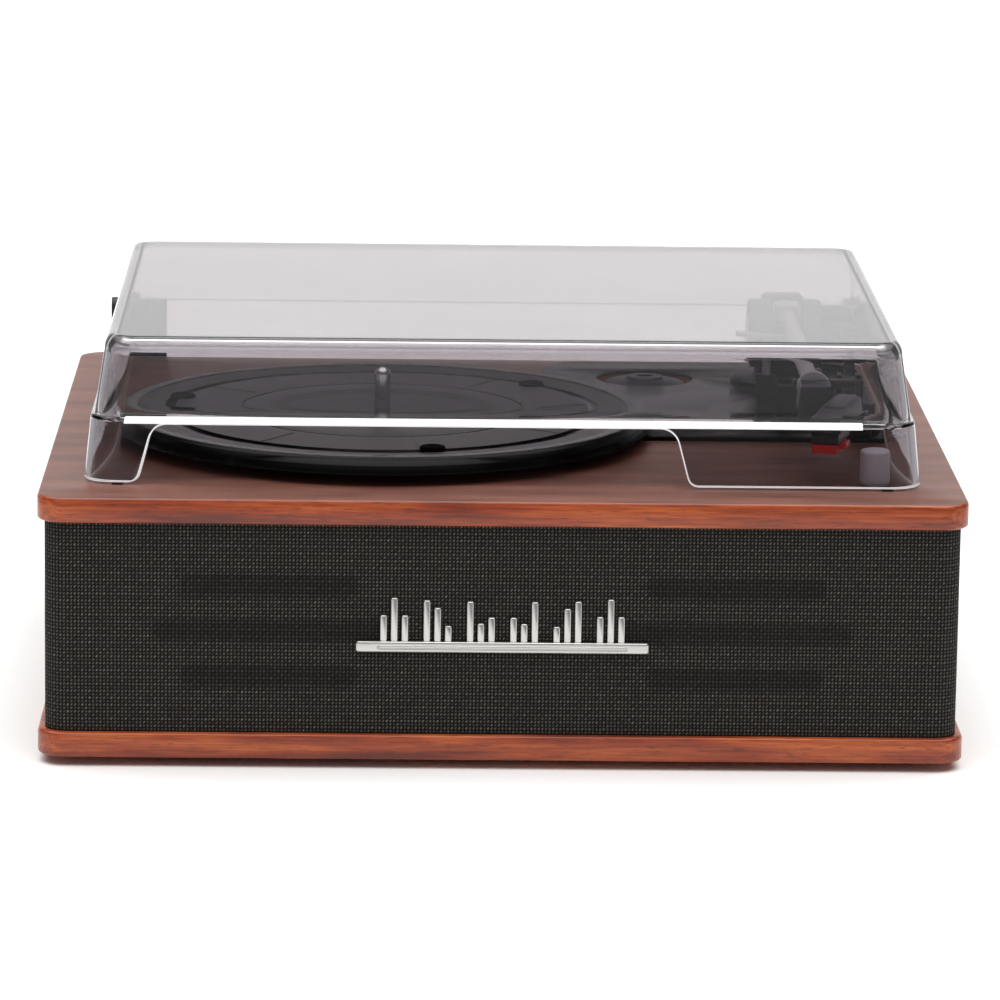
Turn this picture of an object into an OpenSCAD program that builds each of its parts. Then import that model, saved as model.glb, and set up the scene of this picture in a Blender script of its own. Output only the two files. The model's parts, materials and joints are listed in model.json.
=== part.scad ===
// Belt-drive record player in a wooden cabinet with built-in speakers and a hinged clear cover.
// Millimetres. X runs to the right, Y to the back and Z up. The origin is the middle of the
// footprint, on the surface that the rubber feet stand on.

/* [Cabinet] */
// Width of the deck and of the bottom panel
deck_w = 400; // [398:1:402]
// Depth of the deck and of the bottom panel
deck_d = 357; // [356:1:358]
// Thickness of the deck and of the bottom panel
panel_t = 11; // [10.5:0.5:11.5]
// Height from the underside of the bottom panel to the top of the deck
cabinet_h = 114; // [112:1:116]
// Plan radius of the panels' corners
corner_r = 12; // [8:1:14]
// Height of the rubber feet
foot_h = 4; // [3:0.5:5]
// Thickness of the cabinet's walls
wall_t = 9; // [8:1:10]
// How far the cloth stands back from the panels' edges
cloth_inset = 3; // [2.5:0.5:4]
// Thickness of the grille cloth
cloth_t = 1; // [0.8:0.1:1.2]

/* [Speakers] */
// Distance of each speaker from the middle
speaker_x = 100; // [96:1:104]
// Height of the speakers' centres
speaker_z = 60; // [58:1:62]
// Radius of a speaker's flange
speaker_r = 39; // [37:1:40]
// Length of the upper and lower sound slots
slot_short = 77; // [70:1:80]
// Length of the middle sound slots
slot_long = 101; // [95:1:104]
// Height of a sound slot
slot_h = 10; // [8:1:11]
// Distance between the sound slots
slot_pitch = 20; // [18:1:21]

/* [Platter] */
// Sideways place of the spindle
spindle_x = -52.6; // [-54:0.1:-51]
// Front to back place of the spindle
spindle_y = -29; // [-31:0.5:-28]
// Largest radius of the platter, at the foot of its rim
platter_r = 121.5; // [120:0.5:122]
// Height of the platter's raised lip above the deck
platter_rise = 12.5; // [12.5:0.1:13]
// Height of the platter's rim
rim_h = 7.2; // [6.5:0.1:7.5]
// Radius of the spindle
spindle_r = 3.6; // [3.5:0.05:3.6]
// Height of the spindle's tip above the deck
spindle_rise = 31.6; // [30:0.1:32]
// Radius at which the belt runs under the platter
drive_ring_r = 58; // [55:1:60]
// Radius at which the belt runs on the motor pulley
pulley_r = 5.5; // [5:0.1:6]
// Distance from the spindle to the motor's shaft
motor_reach = 85; // [82:1:90]
// Direction from the spindle to the motor's shaft
motor_angle = 135; // [120:5:150]

/* [Tonearm] */
// Sideways place of the tonearm's pivot
pivot_x = 139; // [138:0.5:140]
// Front to back place of the tonearm's pivot
pivot_y = 105; // [104:0.5:106]
// Height of the tube's axis above the deck
arm_rise = 32; // [31.9:0.1:32.2]
// Radius of the tube
tube_r = 3.8; // [3.7:0.1:3.8]
// Distance from the pivot to the stylus
stylus_reach = 240; // [238:1:242]
// Angle between the headshell and the tube
offset_angle = 15.5; // [14:0.5:17]

/* [Cover] */
// Width of the cover at its foot
cover_w = 363; // [361:1:364]
// Front face of the cover at its foot
cover_front = -149; // [-150:0.5:-148]
// Rear face of the cover at its foot
cover_rear = 168; // [167:0.1:168]
// Gap between the deck and the foot of the cover
cover_gap = 1; // [0.8:0.1:1.2]
// Height of the cover from foot to top
cover_h = 62.5; // [61:0.5:63]
// Thickness of the clear wall
cover_t = 2.5; // [2:0.1:3]
// Height of the skirt below the bright step
skirt_h = 28; // [27:1:29]
// Left end of the front arch at its foot
arch_left = -158.5; // [-162:0.1:-155]
// Right end of the front arch at its foot
arch_right = 80.8; // [78:0.1:84]
// Height of the front arch
arch_h = 25; // [24:0.5:25.5]

/* [Controls] */
// Sideways place of the volume knob
knob_x = 162.3; // [160:0.1:164]
// Front to back place of the volume knob
knob_y = -134; // [-136:0.5:-132]
// Radius of the volume knob
knob_r = 6.85; // [6.5:0.05:7]
// Height of the volume knob
knob_h = 15; // [14:0.5:16]
// Sideways place of the single adapter's well
adapter_x = 72.2; // [71:0.1:73]
// Front to back place of the single adapter's well
adapter_y = 110.7; // [110:0.1:112]
// Radius of the single adapter's well
adapter_well_r = 23; // [22:0.5:23.5]

/* [Hidden] */
$fn = 96;
run = 0.05;        // radial running clearance of a shaft in its bearing
bearing_r = 4;     // radius of the spindle's lower part, which turns in the bush
air = 0.3;         // clearance between faces that pass each other
cut = 1;           // how far a cutting solid runs past the face it cuts

z_base = foot_h;
z_floor = z_base + panel_t;
z_deck = z_base + cabinet_h;
z_ceiling = z_deck - panel_t;
box_w = deck_w - 2 * (cloth_inset + cloth_t);
box_d = deck_d - 2 * (cloth_inset + cloth_t);
inner_w = box_w - 2 * wall_t;
inner_d = box_d - 2 * wall_t;
cloth_front = -box_d / 2 - cloth_t;

foot_x = deck_w / 2 - 45;
foot_y = deck_d / 2 - 45;
speaker_screw_ring = 36.8;   // radius of the ring of screws in a speaker's flange

plate_t = 2;                 // thickness of the control plate
plate_left = 25;
plate_right = 176;
plate_front = -38;
plate_rear = 157;
plate_r = 20;
z_plate = z_deck + plate_t;

z_lip = z_deck + platter_rise;
hub_drop = 3.7;              // how far the hub's top lies below the lip
pad_rise = 0.6;              // how far the record pads stand above the lip
pad_r = 5.8;
pad_ring_r = 95;
pad_angles = [43.5, 163.5, 283.5];
belt_w = 4;
belt_t = 0.8;
belt_slack = 0.08;
z_belt = z_deck + 2.4;
motor_x = spindle_x + motor_reach * cos(motor_angle);
motor_y = spindle_y + motor_reach * sin(motor_angle);
motor_r = 12.5;
motor_h = 16;
shaft_r = 1;

z_arm = z_deck + arm_rise;
yoke_z = z_deck + 12.5;      // underside of the turning yoke
yoke_front = -21;
yoke_rear = 17;
post_r = 4;
pin_r = 1.5;
rest_y = -30;
stylus_z = z_lip + pad_rise + 0.5;
head_len = 56;
head_w = 14.5;
head_x = 1;
head_y = -stylus_reach;
cue_r = 32;                  // radius of the cue platform about the pivot
cue_angle = 20;              // where the platform's rod stands, measured from the tube
cue_lever_x = 166;
cue_lever_y = 62;
cue_lever_z = z_plate + 8;
cue_rod_x = pivot_x - cue_r * sin(cue_angle);
cue_rod_y = pivot_y - cue_r * cos(cue_angle);
lever_x = 171;               // sideways place of the two slide levers
speed_y = 22;
stop_y = -8;
collar_r = 7.3;              // locking collar at the front end of the tube
weight_w = 20;               // width of the counterweight
weight_top = 5;              // height of its top above the tube's axis
weight_drop = 9;             // depth of its underside below the tube's axis

hinge_x = 171.5;
hinge_w = 27;
hinge_y = 173.5;
hinge_z = z_deck + 23;
knuckle_r = 4.8;
leaf_w = 12;

z_cover = z_deck + cover_gap;
z_step = z_cover + skirt_h;
z_top = z_cover + cover_h;
arch_lean = 15;              // how far the arch's sides lean, in degrees
arch_corner_r = 8.5;         // radius of its upper corners
arch_flare_r = 5;            // radius that rounds off its feet
bumper_x = 166.5;            // sideways place of the cover's bumpers
bumper_w = 5;

jack_x = -120;
jack_z = 50;
jack_pitch = 17;
recess_w = 38;
recess_h = 36;
recess_back = inner_d / 2;   // face of the jack plate

badge_z = 51.6;
badge_w = 126;
badge_bar_h = 4.8;
badge_t = 2.8;
emblem_h = 19;
emblem_groups = 6;
emblem_pitch = 18.6;

// ---------------------------------------------------------------- shared shapes

// A rectangle with round corners, about the origin
module round_rect(w, d, r) {
    square([w - 2 * r, d], center = true);
    square([w, d - 2 * r], center = true);
    for (sx = [-1, 1], sy = [-1, 1])
        translate([sx * (w / 2 - r), sy * (d / 2 - r)]) circle(r);
}

// An upright plate between two heights
module slab(w, d, r, z0, z1) {
    translate([0, 0, z0]) linear_extrude(z1 - z0) round_rect(w, d, r);
}

// A block given by its lowest and highest corners
module block(low, high) {
    translate(low) cube(high - low);
}

// An upright cylinder between two heights
module rod(x, y, r, z0, z1) {
    translate([x, y, z0]) cylinder(r = r, h = z1 - z0);
}

// A cylinder along X, from x0 to x1
module rod_x(x0, x1, y, z, r) {
    translate([x0, y, z]) rotate([0, 90, 0]) cylinder(r = r, h = x1 - x0);
}

// A cylinder along Y, from y0 to y1
module rod_y(x, y0, y1, z, r) {
    translate([x, y1, z]) rotate([90, 0, 0]) cylinder(r = r, h = y1 - y0);
}

// ---------------------------------------------------------------- cabinet

// Places of everything that passes through the deck
module deck_holes(z0, z1) {
    rod(spindle_x, spindle_y, 6.1, z0, z1);
    rod(motor_x, motor_y, 6, z0, z1);
    rod(pivot_x, pivot_y, 9, z0, z1);
    rod(knob_x, knob_y, 3.6, z0, z1);
    rod(cue_rod_x, cue_rod_y, 2.3, z0, z1);
}

module bottom_panel() {
    color("saddlebrown") difference() {
        slab(deck_w, deck_d, corner_r, z_base, z_floor);
        for (sx = [-1, 1], sy = [-1, 1])
            rod(sx * foot_x, sy * foot_y, 1.5, z_base - cut, z_base + 8.2);
    }
}

module top_panel() {
    color("saddlebrown") difference() {
        slab(deck_w, deck_d, corner_r, z_ceiling, z_deck);
        deck_holes(z_ceiling - cut, z_deck + cut);
        rod(adapter_x, adapter_y, adapter_well_r, z_deck - 3, z_deck + cut);
        for (y = [speed_y, stop_y])
            block([lever_x - 2.5, y - 14, z_deck - 6], [lever_x + 2.5, y + 14, z_deck + cut]);
    }
}

// The four walls as one rounded ring
module wall_ring() {
    difference() {
        slab(box_w, box_d, wall_t, z_floor, z_ceiling);
        block([-inner_w / 2, -inner_d / 2, z_floor - cut], [inner_w / 2, inner_d / 2, z_ceiling + cut]);
    }
}

// One sound slot with round ends, cut through the baffle
module sound_slot(x, z, len) {
    y0 = -box_d / 2 - cut;
    y1 = -inner_d / 2 + cut;
    half = (len - slot_h) / 2;
    block([x - half, y0, z - slot_h / 2], [x + half, y1, z + slot_h / 2]);
    for (s = [-1, 1]) rod_y(x + s * half, y0, y1, z, slot_h / 2);
}

module front_baffle() {
    color("#1c1a18") difference() {
        intersection() {
            wall_ring();
            block([-deck_w / 2, -deck_d / 2, 0], [deck_w / 2, -inner_d / 2, z_deck]);
        }
        for (s = [-1, 1], k = [-1, 0, 1])
            sound_slot(s * speaker_x, speaker_z + k * slot_pitch, k == 0 ? slot_long : slot_short);
    }
}

// One side wall, on the left for s = -1 and on the right for s = 1
module side_wall(s) {
    color("#1c1a18") intersection() {
        wall_ring();
        translate([s * (box_w - wall_t) / 2, 0, (z_floor + z_ceiling) / 2])
            cube([wall_t, inner_d, cabinet_h], center = true);
    }
}

module left_side_wall() {
    side_wall(-1);
}

module right_side_wall() {
    side_wall(1);
}

module rear_wall() {
    color("#1c1a18") difference() {
        intersection() {
            wall_ring();
            block([-deck_w / 2, inner_d / 2, 0], [deck_w / 2, deck_d / 2, z_deck]);
        }
        block([jack_x - recess_w / 2, inner_d / 2 - cut, jack_z - recess_h / 2],
              [jack_x + recess_w / 2, deck_d / 2, jack_z + recess_h / 2]);
    }
}

module corner_posts() {
    size = 16;
    color("burlywood") for (sx = [-1, 1], sy = [-1, 1])
        translate([sx * (inner_w - size) / 2, sy * (inner_d - size) / 2, (z_floor + z_ceiling) / 2])
            cube([size, size, z_ceiling - z_floor], center = true);
}

module grille_cloth() {
    color("#2b2924") difference() {
        slab(box_w + 2 * cloth_t, box_d + 2 * cloth_t, wall_t + cloth_t, z_floor, z_ceiling);
        slab(box_w, box_d, wall_t, z_floor - cut, z_ceiling + cut);
        block([-deck_w, inner_d / 2, z_floor - cut], [deck_w, deck_d, z_ceiling + cut]);
    }
}

module badge_bar() {
    color("silver") difference() {
        block([-badge_w / 2, cloth_front - badge_t, badge_z],
              [badge_w / 2, cloth_front, badge_z + badge_bar_h]);
        block([-badge_w / 2 + 3, cloth_front - badge_t - cut, badge_z + 1.8],
              [badge_w / 2 - 3, cloth_front - badge_t + 0.7, badge_z + 3]);
    }
}

// Six groups of three upright bars, whose heights follow a wave
module badge_emblem() {
    bar_w = 3;
    z0 = badge_z + badge_bar_h;
    color("silver") for (g = [0 : emblem_groups - 1], b = [-1, 0, 1]) {
        x = (g - (emblem_groups - 1) / 2) * emblem_pitch + b * (bar_w + 1.6);
        h = emblem_h * (0.68 + 0.32 * cos(b * 105 + g * 72));
        block([x - bar_w / 2, cloth_front - badge_t + 0.6, z0], [x + bar_w / 2, cloth_front, z0 + h]);
    }
}

module rubber_feet() {
    color("#141414") for (sx = [-1, 1], sy = [-1, 1])
        translate([sx * foot_x, sy * foot_y, 0]) difference() {
            cylinder(r1 = 9, r2 = 10, h = foot_h);
            translate([0, 0, -cut]) cylinder(r = 3.2, h = 2.2 + cut);
            cylinder(r = 1.5, h = foot_h + cut);
        }
}

// A pan-head screw whose head sits at the origin and whose thread runs down
module screw(head_r, head_h, thread_r, len) {
    cylinder(r = head_r, h = head_h);
    translate([0, 0, -len]) cylinder(r = thread_r, h = len);
}

module wood_screws() {
    color("dimgray") {
        for (sx = [-1, 1], sy = [-1, 1])
            translate([sx * foot_x, sy * foot_y, 2.2]) rotate([180, 0, 0]) screw(3, 1.5, 1.5, 10);
        for (s = [-1, 1], a = [45 : 90 : 315])
            translate([s * speaker_x + speaker_screw_ring * cos(a), -inner_d / 2 + 2,
                       speaker_z + speaker_screw_ring * sin(a)])
                rotate([-90, 0, 0]) screw(2, 1.4, 1.2, 2);
        for (sx = [-1, 1], sz = [-1, 1])
            translate([jack_x + sx * 22, recess_back - 2, jack_z + sz * 20])
                rotate([90, 0, 0]) screw(2.2, 1.3, 1.2, 2);
    }
}

// ---------------------------------------------------------------- drive

module control_plate() {
    w = plate_right - plate_left;
    d = plate_rear - plate_front;
    color("#17171a") difference() {
        translate([(plate_left + plate_right) / 2, (plate_front + plate_rear) / 2, z_deck])
            linear_extrude(plate_t) union() {
                round_rect(w, d, plate_r);
                translate([w / 4, -d / 4]) square([w / 2, d / 2], center = true);
            }
        rod(adapter_x, adapter_y, adapter_well_r, z_deck - cut, z_plate + cut);
        rod(pivot_x, pivot_y, 9, z_deck - cut, z_plate + cut);
        rod(cue_rod_x, cue_rod_y, 2.3, z_deck - cut, z_plate + cut);
        for (y = [speed_y, stop_y])
            block([lever_x - 1.6, y - 12, z_deck - cut], [lever_x + 1.6, y + 12, z_plate + cut]);
        // the plate stops short of the platter, which turns beside it and above it
        rod(spindle_x, spindle_y, drive_ring_r + 8, z_deck - cut, z_plate + cut);
    }
}

module drive_motor() {
    color("silver") difference() {
        union() {
            rod(motor_x, motor_y, motor_r, z_ceiling - 2 - motor_h, z_ceiling - 2);
            translate([motor_x, motor_y, z_ceiling - 2]) linear_extrude(2) round_rect(44, 16, 5);
            rod(motor_x, motor_y, 3, z_ceiling, z_ceiling + 3);
        }
        rod(motor_x, motor_y, shaft_r + run, z_ceiling - motor_h, z_deck);
        for (s = [-1, 1]) rod(motor_x + s * 17.5, motor_y, 1.6, z_ceiling - 4, z_ceiling + cut);
    }
}

module motor_screws() {
    color("dimgray") for (s = [-1, 1])
        translate([motor_x + s * 17.5, motor_y, z_ceiling - 2]) rotate([180, 0, 0])
            screw(2.8, 1.6, 1.5, 2);
}

module bearing_bush() {
    color("goldenrod") difference() {
        union() {
            rod(spindle_x, spindle_y, 6, z_ceiling - 12, z_deck + cut);
            rod(spindle_x, spindle_y, 10, z_deck, z_deck + 1.5);
        }
        rod(spindle_x, spindle_y, bearing_r + run, z_ceiling - 12 - cut, z_deck + 2 * cut);
    }
}

// Outline of an open belt round the drive ring and the pulley, grown by a given amount: an arc
// about each centre, which the two straight runs join
module belt_outline(grow) {
    ra = drive_ring_r + grow;
    rb = pulley_r + grow;
    open_angle = acos((drive_ring_r - pulley_r) / motor_reach);
    ring_turn = 360 - 2 * open_angle;
    polygon([
        for (k = [0 : 85]) let (a = open_angle + ring_turn * k / 85) [ra * cos(a), ra * sin(a)],
        for (k = [0 : 12]) let (a = open_angle * (k / 6 - 1)) [motor_reach + rb * cos(a), rb * sin(a)]]);
}

module drive_belt() {
    color("#111111") translate([spindle_x, spindle_y, z_belt]) rotate([0, 0, motor_angle]) difference() {
        linear_extrude(belt_w) belt_outline(belt_slack + belt_t);
        translate([0, 0, -cut]) linear_extrude(belt_w + 2 * cut) belt_outline(belt_slack);
    }
}

// Half section of the platter: lip, sloping band, groove, record face, dished middle and hub
module platter() {
    lip = platter_rise;
    color("#161616") translate([spindle_x, spindle_y, z_deck]) difference() {
        rotate_extrude($fn = 180) polygon([
            [bearing_r, lip - hub_drop], [15, lip - hub_drop], [15.5, lip - 2.3], [47.5, lip - 2.3],
            [53, lip - 0.9], [64.6, lip - 0.9], [64.6, lip - 1.3], [65.8, lip - 1.3],
            [65.8, lip - 0.9], [95, lip - 0.9], [95.3, lip - 2.1], [99.7, lip - 2.1],
            [100.2, lip - 1.2], [111.6, lip - 0.5], [112.2, lip], [117, lip], [118.6, lip - 0.9],
            [platter_r - 1, lip - 3.4], [platter_r, lip - rim_h], [117.5, lip - rim_h],
            [117.5, lip - 4.2], [drive_ring_r, lip - 4.2], [drive_ring_r, 1.9],
            [drive_ring_r - 3, 1.9], [drive_ring_r - 3, lip - 5.2], [12, lip - 5.2], [12, 1.8],
            [bearing_r, 1.8]]);
        // three pockets that hold the record pads
        for (a = pad_angles) rotate([0, 0, a]) translate([pad_ring_r, 0, lip - 2.4])
            cylinder(r = pad_r, h = 4);
    }
}

module platter_pads() {
    color("black") for (a = pad_angles)
        translate([spindle_x, spindle_y, z_lip - 2.4]) rotate([0, 0, a]) translate([pad_ring_r, 0, 0])
            difference() {
                union() {
                    cylinder(r = pad_r, h = 2.4 + pad_rise - 0.6);
                    cylinder(r1 = pad_r, r2 = pad_r - 0.7, h = 2.4 + pad_rise);
                }
                translate([0, 0, 1.6]) cylinder(r = 1.1, h = 4);
            }
}

module spindle() {
    tip = z_deck + spindle_rise;
    color("silver") {
        rod(spindle_x, spindle_y, bearing_r, z_ceiling - 15, z_lip - hub_drop);
        rod(spindle_x, spindle_y, spindle_r, z_lip - hub_drop, tip - spindle_r);
        translate([spindle_x, spindle_y, tip - spindle_r]) intersection() {
            sphere(spindle_r);
            cylinder(r = 2 * spindle_r, h = spindle_r);
        }
    }
}

module spindle_clip() {
    color("dimgray") difference() {
        rod(spindle_x, spindle_y, 6.5, z_ceiling - 13.4, z_ceiling - 12.4);
        rod(spindle_x, spindle_y, bearing_r, z_ceiling - 16, z_ceiling);
    }
}

module motor_pulley() {
    z0 = z_belt - 0.8;
    z1 = z_belt + belt_w + 0.8;
    color("goldenrod") difference() {
        union() {
            rod(motor_x, motor_y, pulley_r, z0, z1);
            rod(motor_x, motor_y, pulley_r + 2, z0, z0 + 0.6);
            rod(motor_x, motor_y, pulley_r + 2, z1 - 0.6, z1);
        }
        rod(motor_x, motor_y, shaft_r, z0 - cut, z1 + cut);
    }
}

module motor_shaft() {
    color("silver") rod(motor_x, motor_y, shaft_r, z_ceiling - motor_h + 0.5, z_belt + belt_w + 0.8);
}

// ---------------------------------------------------------------- tonearm

module tonearm_base() {
    color("#1b1b1e") difference() {
        union() {
            rod(pivot_x, pivot_y, 8.9, z_ceiling - 6, z_plate + cut);
            rod(pivot_x, pivot_y, 26, z_plate, z_plate + 2.2);
            translate([pivot_x, pivot_y, z_plate + 2.2]) cylinder(r1 = 26, r2 = 24.5, h = 1.3);
            rod(pivot_x, pivot_y, 15, z_plate + 3, yoke_z - air);
        }
        rod(pivot_x, pivot_y, post_r + run, z_ceiling - 8, yoke_z + cut);
        rod(cue_rod_x, cue_rod_y, 6, z_plate - cut, z_deck + 20);
    }
}

// The turning part: a post in the base's bore, and two cheeks that hold the tube's pivots
module arm_yoke() {
    top = z_arm + 6.5;
    color("#101012") translate([pivot_x, pivot_y, 0]) difference() {
        union() {
            rod(0, 0, post_r, z_ceiling - 6, yoke_z + cut);
            block([-18.5, yoke_front, yoke_z], [16, yoke_rear, z_arm - 8]);
            block([-18.5, yoke_front, z_arm - 8], [-7, yoke_rear, z_arm]);
            block([7, yoke_front, z_arm - 8], [16, yoke_rear, z_arm]);
            for (x = [[-18.5, -7], [7, 16]]) {
                rod_x(x[0], x[1], 0, z_arm, 7.5);
                block([x[0], yoke_front + 6, z_arm], [x[1], yoke_rear - 6, z_arm + 3]);
            }
        }
        rod_x(-12.6, 12.6, 0, z_arm, pin_r + run);
    }
}

module arm_tube() {
    color("lightgray") translate([pivot_x, pivot_y, z_arm]) difference() {
        union() {
            rod_y(0, -183, 30, 0, tube_r);
            rod_y(0, -179, -175, 0, collar_r);
            block([-6, -8, -5.5], [6, 8, 5.5]);
        }
        rod_y(0, -183 - cut, 30 + cut, 0, tube_r - 0.9);
        rod_x(-8, -4.5, 0, 0, pin_r);
        rod_x(4.5, 8, 0, 0, pin_r);
    }
}

module pivot_pins() {
    color("silver") for (x = [[-12.4, -4.5], [4.5, 12.4]])
        rod_x(pivot_x + x[0], pivot_x + x[1], pivot_y, z_arm, pin_r);
}

module counterweight() {
    middle = z_arm + (weight_top - weight_drop) / 2;
    color("#222224") difference() {
        translate([pivot_x, pivot_y + 36, middle]) rotate([90, 0, 0]) linear_extrude(15.5)
            round_rect(weight_w, weight_top + weight_drop, 2.5, $fn = 32);
        rod_y(pivot_x, pivot_y + 19, pivot_y + 37, z_arm, tube_r);
    }
}

// Places its children at the headshell: -Y to the front, origin at the stylus, turned by the offset
module at_head() {
    translate([pivot_x + head_x, pivot_y + head_y, 0]) rotate([0, 0, -offset_angle]) children();
}

module headshell() {
    neck_y = pivot_y - 183;
    color("#232326") difference() {
        union() {
            block([pivot_x - 8, neck_y - 14, z_arm - 8], [pivot_x + 8, neck_y + 4, z_arm + 3.8]);
            at_head() {
                block([-head_w / 2, -3, z_arm - 9], [head_w / 2, head_len - 4, z_arm - 0.5]);
                block([head_w / 2 - 1, 6, z_arm - 2.5], [head_w / 2 + 9, 15, z_arm - 1]);
            }
        }
        rod_y(pivot_x, neck_y, neck_y + 6, z_arm, tube_r);
    }
}

module cartridge() {
    color("#3a3a3e") at_head() block([-6, -1.5, z_arm - 14], [6, 24, z_arm - 9]);
}

module stylus() {
    base = z_arm - 14;
    color("red") at_head() {
        translate([-5.5, 0, 0]) rotate([90, 0, 90]) linear_extrude(11)
            polygon([[-3, stylus_z + 0.7], [-3, base], [20, base], [20, base - 1.5],
                     [6, stylus_z + 0.7]]);
        rod(0, 0, 0.5, stylus_z, stylus_z + cut);
    }
}

// Post beside the tube with an arm under it, open towards the platter so that the tube swings out
module arm_rest() {
    shelf = z_arm - tube_r - 0.5;
    color("#1b1b1e") {
        block([159, rest_y - 6, z_plate], [169, rest_y + 6, z_plate + 6]);
        block([161, rest_y - 3, z_plate + 6], [165, rest_y + 3, shelf]);
        block([133, rest_y - 3, shelf - 2.5], [161, rest_y + 3, shelf]);
        block([pivot_x + tube_r + 0.5, rest_y - 3, shelf],
              [pivot_x + tube_r + 3, rest_y + 3, shelf + 5]);
    }
}

module cue_guide() {
    color("#1b1b1e") {
        difference() {
            rod(cue_rod_x, cue_rod_y, 5, z_plate, z_plate + 9);
            rod(cue_rod_x, cue_rod_y, 2 + run, z_plate - cut, z_plate + 10);
        }
        for (s = [-1, 1]) difference() {
            block([cue_lever_x + s * 4.5 - 1.2, cue_lever_y - 5, z_plate],
                  [cue_lever_x + s * 4.5 + 1.2, cue_lever_y + 5, cue_lever_z + 4]);
            rod_x(cue_lever_x - 7, cue_lever_x + 7, cue_lever_y, cue_lever_z, 1.5 + run);
        }
    }
}

// A curved bar under the tube on a rod that slides in its guide
module cue_platform() {
    top = z_arm - tube_r - 0.4;
    color("lightgray") {
        translate([pivot_x, pivot_y, top - 2.5]) difference() {
            cylinder(r = cue_r + 2.2, h = 2.5);
            translate([0, 0, -cut]) cylinder(r = cue_r - 2.2, h = 5);
            rotate([0, 0, 8]) translate([0, -60, -cut]) cube([120, 180, 5]);
            rotate([0, 0, -50]) translate([-120, -60, -cut]) cube([120, 180, 5]);
        }
        rod(cue_rod_x, cue_rod_y, 2, z_ceiling + 2, top - 2.5);
    }
}

module cue_lever() {
    color("#1b1b1e") translate([cue_lever_x, cue_lever_y, cue_lever_z]) {
        rod_x(-5.6, 5.6, 0, 0, 1.5);
        rod_x(-2.9, 2.9, 0, 0, 3.5);
        rotate([-12, 0, 0]) {
            block([-2.5, -1.6, 0], [2.5, 1.6, 20]);
            rod_x(-4, 4, 0, 21, 2.6);
        }
    }
}

// ---------------------------------------------------------------- controls and electronics

// A small sliding lever whose stem passes through the control plate
module slide_lever(y) {
    block([lever_x - 1.3, y - 3, z_deck - 4], [lever_x + 1.3, y + 3, z_plate + air]);
    block([lever_x - 3.2, y - 4, z_plate + air], [lever_x + 3.2, y + 4, z_plate + 2]);
    block([lever_x - 3.2, y - 1.4, z_plate + 2], [lever_x + 3.2, y + 1.4, z_plate + 6.5]);
}

module speed_lever() {
    color("#26262a") slide_lever(speed_y - 8);
}

module autostop_lever() {
    color("#26262a") slide_lever(stop_y - 5);
}

module volume_knob() {
    z0 = z_deck + 0.6;
    color("silver") difference() {
        union() {
            rod(knob_x, knob_y, knob_r, z0, z0 + knob_h - 0.6);
            translate([knob_x, knob_y, z0 + knob_h - 0.6])
                cylinder(r1 = knob_r, r2 = knob_r - 0.6, h = 0.6);
        }
        rod(knob_x, knob_y, 3 + run, z0 - cut, z0 + knob_h - 3);
    }
}

module volume_pot() {
    color("#4d6b52") {
        block([knob_x - 8, knob_y - 8, z_ceiling - 8], [knob_x + 8, knob_y + 8, z_ceiling]);
        rod(knob_x, knob_y, 3.5, z_ceiling, z_deck);
        rod(knob_x, knob_y, 3, z_deck, z_deck + knob_h - 3);
    }
}

module adapter_45() {
    z0 = z_deck - 3;
    color("#2c2c30") translate([adapter_x, adapter_y, z0]) difference() {
        union() {
            cylinder(r = 19, h = 3.2);
            translate([0, 0, 3.2]) cylinder(r1 = 19, r2 = 11, h = 1.6);
            cylinder(r = 9, h = 6.4);
        }
        translate([0, 0, -cut]) cylinder(r = spindle_r + run, h = 9);
    }
}

module main_board() {
    color("darkgreen") block([-70, 60, z_floor + 8], [70, 140, z_floor + 9.6]);
}

// Stand-offs, capacitors, an amplifier chip on its heat sink and two connectors
module board_parts() {
    z1 = z_floor + 9.6;
    color("darkslategray") {
        for (x = [-64, 64], y = [66, 134]) rod(x, y, 3, z_floor, z_floor + 8);
        for (x = [-50, -34, -18]) rod(x, 120, 5, z1, z1 + 16);
        block([10, 112, z1], [44, 126, z1 + 22]);
        block([-60, 66, z1], [-36, 74, z1 + 8]);
        block([20, 66, z1], [44, 74, z1 + 8]);
    }
}

// Jack plate on the inside of the rear wall, behind its recess
module rear_jack_plate() {
    color("#202022") difference() {
        block([jack_x - recess_w / 2 - 6, recess_back - 2, jack_z - recess_h / 2 - 5],
              [jack_x + recess_w / 2 + 6, recess_back, jack_z + recess_h / 2 + 5]);
        for (sx = [-1, 1], sz = [-1, 1])
            rod_y(jack_x + sx * jack_pitch / 2, recess_back - 3, recess_back + cut,
                  jack_z + sz * jack_pitch / 2, 3.2);
        for (sx = [-1, 1], sz = [-1, 1])
            rod_y(jack_x + sx * 22, recess_back - 3, recess_back + cut, jack_z + sz * 20, 1.2);
    }
}

// One jack: a body behind the plate, a neck through it and a socket in front of it
module jack(sx, sz, socket_r, socket_len, bore_r, pin_r) {
    x = jack_x + sx * jack_pitch / 2;
    z = jack_z + sz * jack_pitch / 2;
    difference() {
        union() {
            block([x - 5, recess_back - 14, z - 5], [x + 5, recess_back - 2, z + 5]);
            rod_y(x, recess_back - 2, recess_back, z, 3.2);
            rod_y(x, recess_back, recess_back + socket_len, z, socket_r);
        }
        rod_y(x, recess_back - 10, recess_back + socket_len + cut, z, bore_r);
    }
    if (pin_r > 0) rod_y(x, recess_back - 10, recess_back + socket_len - cut, z, pin_r);
}

module rca_jack_left() {
    color("white") jack(1, 1, 4.15, 8.5, 1.6, 0);
}

module rca_jack_right() {
    color("red") jack(-1, 1, 4.15, 8.5, 1.6, 0);
}

module aux_jack() {
    color("#2a2a2a") jack(1, -1, 4, 2, 1.8, 0);
}

module dc_jack() {
    color("#2a2a2a") jack(-1, -1, 5, 3, 2.75, 1);
}

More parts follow.
